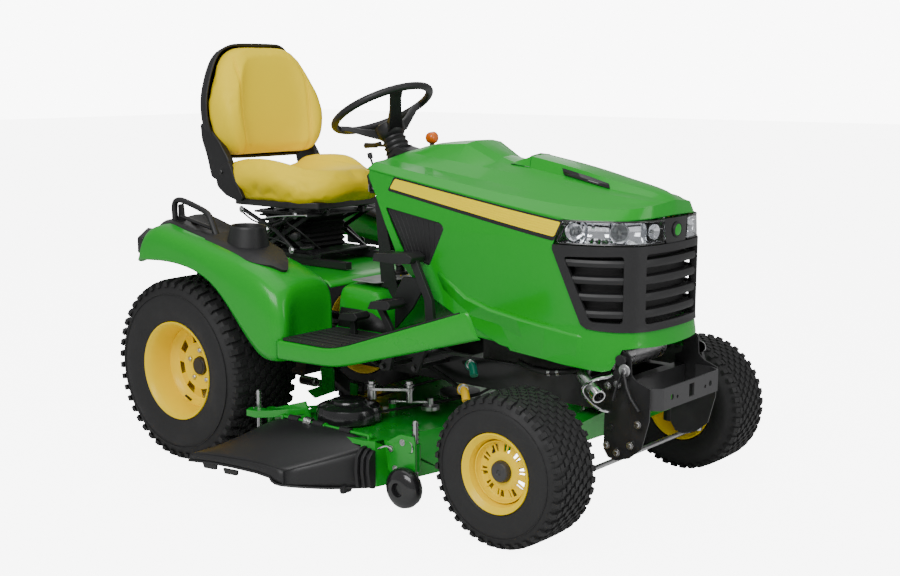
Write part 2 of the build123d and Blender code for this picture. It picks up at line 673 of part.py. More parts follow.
# ---------------------------------------------------------------- hood
# half outlines of the hood, as (Y, Z) from the lower edge to the centreline
HOOD_STATIONS = [
    (610, [(290, 430), (292, 860), (288, 972), (262, 1008), (185, 1034), (120, 1064), (0, 1084)]),
    (884, [(290, 430), (292, 800), (287, 952), (264, 996), (178, 1052), (120, 1104), (0, 1122)]),
    (990, [(291, 430), (294, 750), (286, 930), (263, 976), (176, 1030), (110, 1052), (0, 1080)]),
    (1373, [(292, 430), (292, 640), (278, 856), (268, 915), (150, 992), (75, 1004), (0, 1040)]),
    (1500, [(255, 430), (250, 600), (238, 850), (226, 921), (130, 976), (70, 986), (0, 1012)]),
    (1573, [(200, 430), (195, 600), (183, 850), (178, 923), (110, 964), (60, 972), (0, 990)]),
    (1606, [(110, 430), (110, 600), (105, 850), (100, 926), (80, 958), (50, 966), (0, 972)]),
]
HOOD_OUTLINE = [
    (640, 975), (619, 1032), (640, 1140), (1700, 1140), (1700, 545), (1550, 542), (1536, 498),
    (1518, 474), (1404, 487), (1172, 519), (861, 658), (763, 740),
]


def hood_solid(inset, mode=Mode.ADD):
    """Loft the hood's stations, drawn in by inset for the inner surface."""
    sections = []
    for number, (x, half) in enumerate(HOOD_STATIONS):
        if inset and number == 0:
            x -= 20
        if inset and number == len(HOOD_STATIONS) - 1:
            x -= inset
        bottom = (half[0][0] - inset, half[0][1] - 30 * bool(inset))
        right = [bottom] + [(max(y - inset, 0), z - 0.6 * inset) for y, z in half[1:]]
        left = [(-y, z) for y, z in reversed(right[:-1])]
        with BuildSketch(Plane.YZ.offset(x)) as section:
            with BuildLine():
                Polyline(*right, *left, close=True)
            make_face()
        sections.append(section.sketch)
    loft(sections, ruled=True, mode=mode)


SCREEN = [(697, 915), (934, 880), (950, 864), (889, 738), (783, 767)]
NOSE_OPENING = [(1352, 838), (1380, 916), (1573, 921), (1700, 925), (1700, 592), (1503, 592),
                (1443, 604)]
with BuildPart() as hood_shell:
    hood_solid(0)
    hood_solid(SHEET, Mode.SUBTRACT)
    slab_z([(1560, -183), (1576, -178), (1626, -70), (1634, 0), (1626, 70), (1576, 178),
            (1560, 183)], 926, 961)
    slab_y(HOOD_OUTLINE, -320, 320, Mode.INTERSECT)
    slab_y(NOSE_OPENING, -320, 320, Mode.SUBTRACT)
    for side, name in SIDES:
        slab_y(SCREEN, *span(side, 270, 310), Mode.SUBTRACT)
        ear = [(1548, 500), (1560, 494), (1576, 500), (1582, 516), (1564, 552), (1564, 586),
               (1540, 586), (1545, 540)]
        slab_y(ear, *span(side, 204, 210))
        rod_y(*HOOD_PIVOT, 10 + RUNNING, *span(side, 200, 215), Mode.SUBTRACT)
save(hood_shell, "hood_shell")

with BuildPart() as nose_grille:
    hood_solid(1)
    hood_solid(SHEET + 3, Mode.SUBTRACT)
    slab_y([(1353.5, 838), (1356, 845), (1700, 848), (1700, 592.5), (1503, 592.5), (1444, 605)],
           -320, 320, Mode.INTERSECT)
    for row in range(4):
        z_low = 622 + 53 * row
        block(1400 - 12 * row, 1560, -300, 300, z_low, z_low + 27, Mode.SUBTRACT)
        for side, name in SIDES:
            block(1590, 1640, *span(side, 12, 92), z_low, z_low + 27, Mode.SUBTRACT)
save(nose_grille, "nose_grille")

with BuildPart() as headlight_lenses:
    hood_solid(1)
    hood_solid(SHEET, Mode.SUBTRACT)
    slab_y([(1357, 848.5), (1381, 915), (1573, 920), (1700, 924.5), (1700, 850)],
           -320, 320, Mode.INTERSECT)
    block(1500, 1700, -55, 55, 800, 1000, Mode.SUBTRACT)
save(headlight_lenses, "headlight_lenses")

with BuildPart() as side_screens:
    for side, name in SIDES:
        inner = [(x + (3 if x < 820 else -3), z + (3 if z < 800 else -3)) for x, z in SCREEN]
        slab_y(inner, *span(side, 284, 287))
save(side_screens, "side_screens")


# ---------------------------------------------------------------- seat
with BuildPart() as seat_rails:
    for side, name in SIDES:
        low, high = span(side, 135, 165)
        block(-110, 400, low, high, SEAT_FLOOR + 0.1, 690)
save(seat_rails, "seat_rails")

with BuildPart() as seat_suspension:
    for side, name in SIDES:
        low, high = span(side, 126, 168)
        block(-60, 240, low, high, 690.5, 703)
        low, high = span(side, 150, 158)
        slab_y([(-50, 702), (-20, 702), (222, 838), (192, 838)], low, high)
        low, high = span(side, 138, 146)
        slab_y([(-50, 838), (-20, 838), (222, 702), (192, 702)], low, high)
        low, high = span(side, 132, 168)
        block(-60, 226, low, high, 838, 846)
        rod_z(30, side * 70, 30, 708, 838)
        low, high = span(side, 88, 99)
        block(216, 246, low, high, 838, 846)
        slab_y([(216, 846), (246, 846), (246, 860), (235, 869), (224, 860)], low, high)
    block(-60, 240, -132, 132, 702, 708)
    block(-60, 226, -132, 132, 838, 846)
    rod_y(*SEAT_HINGE, 6 + RUNNING, -130, 130, Mode.SUBTRACT)
save(seat_suspension, "seat_suspension")

with BuildPart() as seat_pan:
    slab_z([(-205, -222), (-100, -222), (-92, -205), (150, -205), (272, -160), (272, 160),
            (150, 205), (-92, 205), (-100, 222), (-205, 222)], 872, 882)
    rod_y(*SEAT_HINGE, 6, -118, 118)
    for side, name in SIDES:
        low, high = span(side, 101, 112)
        slab_y([(222, 873), (222, 858), (235, 846), (248, 858), (248, 873)], low, high)
save(seat_pan, "seat_pan")

with BuildPart() as seat_cushion:
    slab_y([(-178, 882.5), (-186, 900), (-184, 990), (-120, 1004), (-40, 992), (60, 1010),
            (160, 1014), (250, 990), (300, 950), (306, 912), (285, 884), (240, 882.5)],
           -224, 224)
    slab_z([(-190, -198), (-102, -198), (-92, -224), (140, -224), (280, -178), (310, -110),
            (310, 110), (280, 178), (140, 224), (-92, 224), (-102, 198), (-190, 198)],
           860, 1030, Mode.INTERSECT)
save(seat_cushion, "seat_cushion")

BACK_NORMAL = (cos(radians(BACK_LEAN)), 0, sin(radians(BACK_LEAN)))
BACK_OUTLINE = [(-182, 2), (-236, 190), (-222, 280), (-165, 430), (165, 430), (222, 280),
                (236, 190), (182, 2)]


def back_sketch(depth, grow, middle=0):
    """Backrest outline on a plane depth behind the cushion's front face, less its middle."""
    foot = Vector(-136, 0, 1016) - Vector(*BACK_NORMAL) * depth
    with BuildSketch(Plane(foot, x_dir=(0, 1, 0), z_dir=BACK_NORMAL)) as outline:
        with BuildLine():
            Polyline(*BACK_OUTLINE, close=True)
        make_face()
        fillet(outline.vertices(), radius=38)
        if grow:
            offset(amount=grow)
        if middle:
            Rectangle(2 * middle, 1200, mode=Mode.SUBTRACT)
    return outline.sketch


with BuildPart() as seat_back_cushion:
    extrude(back_sketch(0, 0), amount=-82)
    extrude(back_sketch(0, 0, 165), amount=38)
save(seat_back_cushion, "seat_back_cushion")

with BuildPart() as seat_back_shell:
    extrude(back_sketch(82.5, 3), amount=-46)
    for side, name in SIDES:
        low, high = span(side, 208, 220)
        slab_y([(-236, 1110), (-262, 1120), (-240, 990), (-200, 883), (-110, 883), (-104, 905),
                (-150, 940), (-196, 1004), (-228, 1040)], low, high)
        low, high = span(side, 176, 208)
        slab_y([(-230, 1060), (-258, 1060), (-262, 1100), (-236, 1100)], low, high)
save(seat_back_shell, "seat_back_shell")


# ---------------------------------------------------------------- mower deck
DECK_TAPER = 12
DECK_OUTLINE = [
    (880, -DECK_HALF), (935, -598), (985, -330), (1008, -150), (1008, 150), (985, 330),
    (935, 598), (880, DECK_HALF), (520, DECK_HALF), (470, 510), (400, 330), (400, -330),
    (470, -510), (520, -DECK_HALF),
]
SPINDLES = (("right", SPINDLE_X, -SPINDLE_HALF), ("centre", CENTRE_SPINDLE_X, 0),
            ("left", SPINDLE_X, SPINDLE_HALF))
ARM_END = (480, 262)
with BuildPart() as deck_shell:
    with BuildSketch(Plane.XY.offset(DECK_LOW)) as deck_edge:
        with BuildLine():
            Polyline(*DECK_OUTLINE, close=True)
        make_face()
    extrude(deck_edge.sketch, amount=DECK_HIGH - DECK_LOW, taper=DECK_TAPER)
    with BuildSketch(Plane.XY.offset(DECK_LOW)) as deck_inside:
        with BuildLine():
            Polyline(*DECK_OUTLINE, close=True)
        make_face()
        offset(amount=-DECK_SHEET, kind=Kind.INTERSECTION)
    extrude(deck_inside.sketch, amount=DECK_HIGH - DECK_LOW - DECK_SHEET, taper=DECK_TAPER,
            mode=Mode.SUBTRACT)
    block(525, 868, -700, -586, DECK_LOW - 5, DECK_HIGH - 14, Mode.SUBTRACT)
    for name, x, y in SPINDLES:
        rod_z(x, y, 42, DECK_HIGH - 1, 242)
        rod_z(x, y, 42, 200, DECK_HIGH - 1)
        rod_z(x, y, 12 + RUNNING, 180, 260, Mode.SUBTRACT)
    rod_z(735, -300, 12, DECK_HIGH - 1, 266)
    for side, name in SIDES:
        pin_x, pin_y = GAUGE_FRONT[0] + 7, GAUGE_FRONT[1] - 36
        slab_y([(906, 225), (1030, 234), (1030, 150), (985, 120), (948, 94), (938, 130)],
               *span(side, pin_y - 4, pin_y + 4))
        rod_z(pin_x, side * pin_y, 16, 150, 234)
        rear_x, rear_y = GAUGE_REAR
        slab_y([(rear_x - 2, 186), (rear_x - 2, 236), (545, 284), (572, 225), (520, 222),
                (430, 210)], *span(side, rear_y - 34, rear_y - 26))
        rod_z(rear_x - 10, side * (rear_y - 30), 16, 186, 236)
        for hole_x, hole_y, low in ((pin_x, pin_y, 140), (rear_x - 10, rear_y - 30, 176)):
            rod_z(hole_x, side * hole_y, 8, low, 250, Mode.SUBTRACT)
        low, high = span(side, 212, 219)
        block(ARM_END[0] - 16, ARM_END[0] + 16, low, high, DECK_HIGH - 1, 280)
        rod_y(*ARM_END, 6, *span(side, 196, 213))
    # lugs and rod of the chute's hinge
    for lug_x in (500, 690, 884):
        slab_x([(CHUTE_HINGE[0] - 8, CHUTE_HINGE[1] + 4), (CHUTE_HINGE[0] + 6, CHUTE_HINGE[1] + 8),
                (CHUTE_HINGE[0] + 30, DECK_HIGH - 1), (CHUTE_HINGE[0] - 8, DECK_HIGH - 1)],
               lug_x - 4, lug_x + 4)
    rod_x(*CHUTE_HINGE, 5, 490, 894)
save(deck_shell, "deck_shell")

with BuildPart() as spindle_covers:
    for name, x, y in (SPINDLES[0], SPINDLES[2]):
        rod_z(x, y, 106, DECK_HIGH + 0.5, 290)
        rod_z(x, y, 102, 200, 286, Mode.SUBTRACT)
        low, high = sorted((y * 0.9, y * 0.5))
        block(x - 115, x + 115, low, high, 200, 270, Mode.SUBTRACT)
save(spindle_covers, "spindle_covers")

for name, x, y in SPINDLES:
    with BuildPart() as blade_spindle:
        rod_z(x, y, 12, 96, 268)
        rod_z(x, y, 36, 112, 199)
        rod_z(x, y, 70, 250, 262)
        block(x - BLADE_R + 6, x + BLADE_R - 6, y - 31, y + 31, 104, 110)
        save(blade_spindle, f"blade_spindle_{name}")

with BuildPart() as deck_belt:
    with BuildSketch(Plane.XY.offset(252)) as belt_outer:
        for name, x, y in SPINDLES:
            with Locations((x, y)):
                Circle(77)
        make_hull()
    extrude(belt_outer.sketch, amount=8)
    with BuildSketch(Plane.XY.offset(251)) as belt_inner:
        for name, x, y in SPINDLES:
            with Locations((x, y)):
                Circle(70.5)
        make_hull()
    extrude(belt_inner.sketch, amount=10, mode=Mode.SUBTRACT)
save(deck_belt, "deck_belt")

with BuildPart() as idler_arm:
    idler_pivot = (735, -300)
    idler_end = (842, -232)
    bar((*idler_pivot, 273), (*idler_end, 273), 5)
    rod_z(*idler_pivot, 14, 266.5, 280)
    rod_z(*idler_end, 10, 246, 288)
    rod_z(*idler_end, 30, 250, 262)
save(idler_arm, "idler_arm")

CHUTE_PLAN = [(876, -576), (690, -768), (275, CHUTE_EDGE), (392, -604), (500, -578)]
FRONT_CORNER, OUTER_CORNER = (876, -576, 249), (690, -768, 150)
TAIL_CORNER, REAR_CORNER = (275, -778, 116), (500, -578, 247)


def below_chute_top(drop, mode):
    """Everything under the chute's folded top, drop millimetres further down."""
    for corners in (
        (FRONT_CORNER, OUTER_CORNER, REAR_CORNER), (OUTER_CORNER, TAIL_CORNER, REAR_CORNER),
    ):
        first, second, third = (Vector(*corner) for corner in corners)
        normal = (second - first).cross(third - first)
        if normal.Z < 0:
            normal = normal * -1
        with BuildSketch(Plane(OUTER_CORNER, z_dir=normal).offset(-drop)) as cutter:
            Rectangle(2400, 2400)
        extrude(cutter.sketch, amount=-600, mode=mode)


with BuildPart() as chute_hollow:
    slab_z([(870, -574), (686, -763), (283, -773), (396, -607), (500, -582), (500, -570),
            (870, -570)], 60, 270)
    below_chute_top(4, Mode.INTERSECT)
with BuildPart() as lip_trim:
    slab_z([(660, -900), (660, -764), (640, -600), (200, -560), (200, -900)], 40, 270)
    below_chute_top(26, Mode.INTERSECT)

with BuildPart() as discharge_chute:
    slab_z(CHUTE_PLAN, 84, 262)
    below_chute_top(0, Mode.INTERSECT)
    add(chute_hollow.part, mode=Mode.SUBTRACT)
    add(lip_trim.part, mode=Mode.SUBTRACT)
    block(470, 900, -627, -540, 60, 228, Mode.SUBTRACT)
    for low, high in ((506, 684), (696, 878)):
        rod_x(*CHUTE_HINGE, 9, low, high)
        block(low, high, -590, CHUTE_HINGE[0], 233, 243)
    rod_x(*CHUTE_HINGE, 5 + RUNNING, 400, 920, Mode.SUBTRACT)
    for lug_x in (500, 690, 884):
        block(lug_x - 6, lug_x + 6, -592, -540, 220, 260, Mode.SUBTRACT)
save(discharge_chute, "discharge_chute")

with BuildPart() as gauge_pins:
    for side, name in SIDES:
        for x, y, wheel_y, high in (
            (GAUGE_FRONT[0] + 7, GAUGE_FRONT[1] - 36, GAUGE_FRONT[1], 307),
            (GAUGE_REAR[0] - 10, GAUGE_REAR[1] - 30, GAUGE_REAR[1], 300),
        ):
            rod_z(x, side * y, 8, 92, high)
            axle_x = x - 7 if x > 900 else x + 10
            low, high_y = span(side, y - 4, wheel_y + 22)
            rod_y(axle_x, GAUGE_Z, 6, low, high_y)
            block(min(x, axle_x), max(x, axle_x), *span(side, y - 4, y + 4), 98, 112)
save(gauge_pins, "gauge_pins")

for side, name in SIDES:
    for end, (x, y) in (("front", GAUGE_FRONT), ("rear", GAUGE_REAR)):
        with BuildPart() as gauge_wheel:
            low, high = span(side, y - 18, y + 18)
            rod_y(x, GAUGE_Z, GAUGE_R, low, high)
            fillet(gauge_wheel.edges().filter_by(GeomType.CIRCLE), radius=10)
            rod_y(x, GAUGE_Z, 6 + RUNNING, low - 2, high + 2, Mode.SUBTRACT)
        save(gauge_wheel, f"gauge_wheel_{end}_{name}")

with BuildPart() as lift_arms:
    rod_y(*ROCKSHAFT, 12, -208, 208)
    for side, name in SIDES:
        low, high = span(side, 200, 208)
        slab_y([(ROCKSHAFT[0] - 20, 300), (ROCKSHAFT[0] - 20, 336), (ROCKSHAFT[0] + 16, 340),
                (448, 288), (516, 284), (516, 240), (440, 244), (ROCKSHAFT[0], 296)], low, high)
        slab_y([(452, 251), (508, 251), (508, 273), (452, 273)], low, high, Mode.SUBTRACT)
save(lift_arms, "lift_arms")
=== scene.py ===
"""Looks of the riding lawn mower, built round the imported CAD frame.

Places are written in millimetres: X forward from the rear axle, Y to the machine's left,
Z up from the ground. at() turns them into the row's frame in metres.
"""

import json
from math import cos, pi, radians, sin

import bmesh
import bpy
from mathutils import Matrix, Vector
from mathutils.bvhtree import BVHTree
from mathutils.geometry import tessellate_polygon


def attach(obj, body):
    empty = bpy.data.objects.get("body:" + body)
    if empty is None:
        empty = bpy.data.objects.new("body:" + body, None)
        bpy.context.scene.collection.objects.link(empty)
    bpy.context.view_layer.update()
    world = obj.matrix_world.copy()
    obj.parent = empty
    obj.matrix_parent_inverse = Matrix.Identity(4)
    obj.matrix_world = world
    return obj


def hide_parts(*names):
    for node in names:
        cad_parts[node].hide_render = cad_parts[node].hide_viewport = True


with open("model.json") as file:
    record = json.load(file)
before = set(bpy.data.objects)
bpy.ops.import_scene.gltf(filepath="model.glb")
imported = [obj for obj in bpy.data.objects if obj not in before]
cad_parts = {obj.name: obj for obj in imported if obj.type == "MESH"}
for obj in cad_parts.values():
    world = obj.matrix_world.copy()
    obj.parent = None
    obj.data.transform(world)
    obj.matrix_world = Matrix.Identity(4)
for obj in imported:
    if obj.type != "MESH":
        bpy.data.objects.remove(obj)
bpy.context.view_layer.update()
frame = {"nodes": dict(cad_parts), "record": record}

MIDDLE = Vector((679.0, -78.0, 0.0))
SIDES = ((-1, "right"), (1, "left"))
BODY_OF = {
    node: body
    for body, nodes in frame["record"]["behaviour"]["bodies"].items()
    for node in nodes
}


def at(x, y, z):
    """A point in the row's frame."""
    return (Vector((x, y, z)) - MIDDLE) / 1000


# ---------------------------------------------------------------- materials
def wire(tree, kind, inputs):
    """New shader node; an input is given as a value or as the output that feeds it."""
    node = tree.nodes.new("ShaderNode" + kind)
    set_inputs(tree, node, inputs)
    return node


def set_inputs(tree, node, inputs):
    for name, value in inputs.items():
        if isinstance(value, bpy.types.NodeSocket):
            tree.links.new(value, node.inputs[name])
        else:
            node.inputs[name].default_value = value


def blank_material(name):
    """Material, its node tree and its shader."""
    made = bpy.data.materials.new(name)
    made.use_nodes = True
    return made, made.node_tree, made.node_tree.nodes["Principled BSDF"]


def finish(
    name, colour, other, roughness, metallic=0.0, coat=0.0, grain=400.0, bump=0.05,
    depth=0.0004, patch=6.0, stretch=(1, 1, 1), leather=False, specular=0.5,
):
    """Procedural material: two colours mixed in patches, uneven gloss and a fine relief."""
    made, tree, shader = blank_material(name)
    place = wire(tree, "TexCoord", {}).outputs["Object"]
    spot = wire(tree, "Mapping", {"Vector": place, "Scale": stretch}).outputs["Vector"]
    patches = wire(tree, "TexNoise", {"Vector": spot, "Scale": patch, "Detail": 6}).outputs["Fac"]
    mix = wire(tree, "Mix", {0: patches, 6: (*colour, 1), 7: (*other, 1)})
    mix.data_type = "RGBA"
    gloss = wire(tree, "MapRange", {"Value": patches, "From Min": 0.3, "From Max": 0.7,
                                    "To Min": roughness[0], "To Max": roughness[1]})
    if leather:
        relief = wire(tree, "TexVoronoi", {"Vector": spot, "Scale": grain}).outputs["Distance"]
    else:
        relief = wire(tree, "TexNoise", {"Vector": spot, "Scale": grain, "Detail": 3}
                      ).outputs["Fac"]
    shove = wire(tree, "Bump", {"Height": relief, "Strength": bump, "Distance": depth})
    set_inputs(tree, shader, {
        "Base Color": mix.outputs[2], "Roughness": gloss.outputs["Result"],
        "Normal": shove.outputs["Normal"], "Metallic": metallic, "Coat Weight": coat,
        "Coat Roughness": 0.04, "Specular IOR Level": specular,
    })
    return made


PAINT = finish("green_gloss", (0.004, 0.36, 0.016), (0.003, 0.33, 0.014), (0.26, 0.34),
               coat=0.2, specular=0.35, grain=220, bump=0.03, patch=3)
STEEL_PAINT = finish("green_steel", (0.004, 0.33, 0.016), (0.003, 0.28, 0.014), (0.25, 0.38),
                     coat=0.4, grain=300, bump=0.08, patch=9)
WHEEL_PAINT = finish("yellow_steel", (1.0, 0.72, 0.0), (1.0, 0.68, 0.0), (0.35, 0.45),
                     coat=0.1, specular=0.25, grain=300, bump=0.08, patch=8)
VINYL = finish("yellow_vinyl", (1.0, 0.76, 0.0), (1.0, 0.72, 0.0), (0.46, 0.56), specular=0.22,
               grain=900, bump=0.16, depth=0.0003, patch=7, leather=True)
PLASTIC = finish("black_plastic", (0.009, 0.009, 0.010), (0.014, 0.014, 0.015), (0.42, 0.55),
                 grain=1300, bump=0.18, depth=0.0003, patch=10)
GLOSS_BLACK = finish("black_gloss", (0.010, 0.010, 0.011), (0.016, 0.016, 0.017), (0.14, 0.24),
                     coat=0.3, grain=400, bump=0.04)
BLACK_STEEL = finish("black_steel", (0.014, 0.014, 0.015), (0.026, 0.026, 0.027), (0.3, 0.45),
                     coat=0.12, grain=500, bump=0.1, patch=14)
GREY_STEEL = finish("dark_grey_steel", (0.045, 0.045, 0.047), (0.06, 0.06, 0.062), (0.4, 0.5),
                    metallic=0.3, grain=700, bump=0.08, patch=12)
TYRE = finish("tyre_rubber", (0.008, 0.008, 0.009), (0.014, 0.014, 0.014), (0.55, 0.72),
              grain=500, bump=0.2, depth=0.0006, patch=16)
RUBBER = finish("mat_rubber", (0.008, 0.008, 0.009), (0.014, 0.014, 0.014), (0.5, 0.65),
                grain=800, bump=0.25, patch=20)
STEEL = finish("zinc_steel", (0.60, 0.60, 0.60), (0.42, 0.42, 0.43), (0.22, 0.38), metallic=1.0,
               grain=900, bump=0.08, patch=40, stretch=(1, 1, 0.2))
CHROME = finish("chrome", (0.86, 0.87, 0.88), (0.75, 0.76, 0.78), (0.05, 0.12), metallic=1.0,
                grain=60, bump=0.02)
CAST = finish("cast_iron", (0.035, 0.035, 0.036), (0.06, 0.058, 0.055), (0.5, 0.7), metallic=0.4,
              grain=350, bump=0.5, depth=0.001, patch=18)
AMBER = finish("amber_lens", (0.95, 0.20, 0.006), (0.90, 0.16, 0.004), (0.12, 0.2), coat=0.6,
               grain=160, bump=0.12, patch=30)
RED = finish("red_lens", (0.55, 0.01, 0.008), (0.45, 0.008, 0.006), (0.12, 0.2), coat=0.6,
             grain=160, bump=0.12)
YELLOW_TRIM = finish("yellow_trim", (1.0, 0.80, 0.0), (1.0, 0.78, 0.0), (0.4, 0.5),
                     specular=0.12, grain=400, bump=0.02)
YELLOW_CAP = finish("yellow_coupler", (0.90, 0.55, 0.01), (0.85, 0.5, 0.01), (0.3, 0.4),
                    grain=600, bump=0.1)
TEAL_CAP = finish("teal_coupler", (0.0, 0.22, 0.13), (0.0, 0.26, 0.16), (0.3, 0.4), grain=600,
                  bump=0.1)
GREY_GRAPHIC = finish("grey_decal", (0.42, 0.43, 0.42), (0.12, 0.13, 0.12), (0.3, 0.4),
                      coat=0.3, grain=300, bump=0.04, patch=34)

LENS, lens_tree, lens_shader = blank_material("clear_lens")
flutes = wire(lens_tree, "TexWave", {"Scale": 12})
ripple = wire(lens_tree, "Bump", {"Height": flutes.outputs["Fac"], "Strength": 0.05})
lens_place = wire(lens_tree, "TexCoord", {})
set_inputs(lens_tree, flutes, {"Vector": lens_place.outputs["Object"]})
set_inputs(lens_tree, lens_shader, {
    "Base Color": (0.97, 0.98, 1.0, 1), "Transmission Weight": 1.0, "Roughness": 0.02,
    "IOR": 1.25, "Normal": ripple.outputs["Normal"],
})


# ---------------------------------------------------------------- mesh tools
def piece(name, mesh, material, body="chassis", smooth=35, bevel=0.0, segments=2,
          subsurf=0, solid=0.0, replaces=None):
    """Turn a finished mesh into a piece that rides on a body and may replace a CAD node."""
    obj = bpy.data.objects.new(name, mesh)
    bpy.context.scene.collection.objects.link(obj)
    mesh.materials.clear()
    mesh.materials.append(material)
    mesh.shade_smooth()
    mesh.set_sharp_from_angle(angle=radians(smooth))
    if subsurf:
        rounder = obj.modifiers.new("round", "SUBSURF")
        rounder.levels = subsurf
        rounder.render_levels = subsurf
        rounder.boundary_smooth = "PRESERVE_CORNERS"
    if solid:
        thick = obj.modifiers.new("thick", "SOLIDIFY")
        thick.thickness = solid / 1000
        thick.offset = -1
        thick.use_even_offset = True
    if bevel:
        edge = obj.modifiers.new("edge", "BEVEL")
        edge.width = bevel / 1000
        edge.segments = segments
        edge.limit_method = "ANGLE"
        edge.angle_limit = radians(32)
        edge.harden_normals = True
    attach(obj, body)
    if replaces:
        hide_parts(replaces)
    return obj


def on_side(side, points):
    """Points given as (X, |Y|, Z), on one side of the machine."""
    return [(x, side * y, z) for x, y, z in points]


def mesh_of(verts, faces):
    """Mesh from points in millimetres and face indices."""
    mesh = bpy.data.meshes.new("mesh")
    mesh.from_pydata([at(*v) for v in verts], [], faces)
    work = bmesh.new()
    work.from_mesh(mesh)
    bmesh.ops.remove_doubles(work, verts=work.verts, dist=1e-6)
    bmesh.ops.recalc_face_normals(work, faces=work.faces)
    work.to_mesh(mesh)
    work.free()
    return mesh


def joined(meshes):
    """One mesh from several."""
    work = bmesh.new()
    for mesh in meshes:
        work.from_mesh(mesh)
    whole = bpy.data.meshes.new("joined")
    work.to_mesh(whole)
    work.free()
    return whole


def prism(outline, axis, low, high):
    """Closed outline pushed along an axis; outline points are the other two coordinates."""
    order = {"x": (0, 1, 2), "y": (1, 0, 2), "z": (1, 2, 0)}[axis]
    verts = [tuple((level, *p)[n] for n in order) for level in (low, high) for p in outline]
    count = len(outline)
    faces = [tuple(range(count))[::-1], tuple(range(count, 2 * count))]
    faces += [(i, (i + 1) % count, count + (i + 1) % count, count + i) for i in range(count)]
    return mesh_of(verts, faces)


def frame_along(direction):
    """Two unit vectors square to a direction."""
    d = Vector(direction).normalized()
    side = d.cross(Vector((0, 0, 1)) if abs(d.z) < 0.9 else Vector((1, 0, 0))).normalized()
    return side, d.cross(side).normalized()


def grid_faces(rows, columns, wrap=True, loop=False, ends=False):
    """Quads between rows of points.

    wrap joins the end of each row to its start, loop joins the last row to the first, and
    ends closes the first and the last row.
    """
    faces = []
    for i in range(rows if loop else rows - 1):
        j = (i + 1) % rows
        for k in range(columns if wrap else columns - 1):
            n = (k + 1) % columns
            faces.append((i * columns + k, i * columns + n, j * columns + n, j * columns + k))
    if ends:
        faces += [tuple(range(columns))[::-1], tuple(range((rows - 1) * columns, rows * columns))]
    return faces


def turned(profile, centre, axis, steps):
    """Rings of points: (distance along axis, radius) turned round an axis through centre."""
    d, c = Vector(axis).normalized(), Vector(centre)
    u, v = frame_along(d)
    angles = [2 * pi * k / steps for k in range(steps)]
    return [c + d * h + (u * cos(a) + v * sin(a)) * max(r, 0.01) for h, r in profile
            for a in angles]


def lathe(profile, centre, axis, steps=48, closed=False):
    """Solid of revolution; closed joins the profile's end to its start."""
    return mesh_of(turned(profile, centre, axis, steps),
                   grid_faces(len(profile), steps, loop=closed, ends=not closed))


def smooth_path(points, rounds=3):
    """Corner-cut a path so that it bends softly."""
    path = [Vector(p) for p in points]
    for _ in range(rounds):
        cut = [path[0]]
        for a, b in zip(path, path[1:]):
            cut += [a.lerp(b, 0.25), a.lerp(b, 0.75)]
        path = cut + [path[-1]]
    return path


def tube(points, radius, sides=12, rounds=3, flat=1.0):
    """Round bar or hose along a path; radius may be one value or one per point."""
    path = smooth_path(points, rounds) if rounds else [Vector(p) for p in points]
    verts = []
    side = None
    for i, p in enumerate(path):
        ahead = (path[min(i + 1, len(path) - 1)] - path[max(i - 1, 0)]).normalized()
        if side is None:
            side, _ = frame_along(ahead)
        side = (side - ahead * side.dot(ahead)).normalized()
        other = ahead.cross(side)
        r = radius if not isinstance(radius, tuple) else (
            radius[0] + (radius[1] - radius[0]) * i / (len(path) - 1))
        for k in range(sides):
            a = 2 * pi * k / sides
            verts.append(p + side * r * cos(a) + other * r * flat * sin(a))
    return mesh_of(verts, grid_faces(len(path), sides, ends=True))


def spring(base, top, radius, wire, turns):
    """Coil spring between two points."""
    a, b = Vector(base), Vector(top)
    u, v = frame_along(b - a)
    points = []
    for i in range(int(turns * 14) + 1):
        t = i / (turns * 14)
        angle = 2 * pi * turns * t
        points.append(a.lerp(b, t) + (u * cos(angle) + v * sin(angle)) * radius)
    return tube(points, wire, sides=8, rounds=0)


def bolt(centre, axis, size=9, length=7):
    """Hexagon head with a washer and a domed end."""
    head = lathe([(0, size * 1.35), (1.6, size * 1.35), (1.6, size), (length - 1.5, size),
                  (length, size * 0.8)], centre, axis, steps=6)
    washer = lathe([(0, size * 1.5), (1.5, size * 1.5)], centre, axis, steps=24)
    return joined([head, washer])


def dressed(node, material, bevel=1.5, segments=2, smooth=30):
    """The CAD node's own shape with rounded edges and a worked material."""
    source = frame["nodes"][node]
    mesh = source.data.copy()
    work = bmesh.new()
    work.from_mesh(mesh)
    bmesh.ops.remove_doubles(work, verts=work.verts, dist=2e-6)
    bmesh.ops.dissolve_limit(work, angle_limit=radians(0.6), verts=work.verts, edges=work.edges)
    work.to_mesh(mesh)
    work.free()
    piece(node + ".skin", mesh, material, BODY_OF[node], smooth=smooth, bevel=bevel,
          segments=segments, replaces=node)


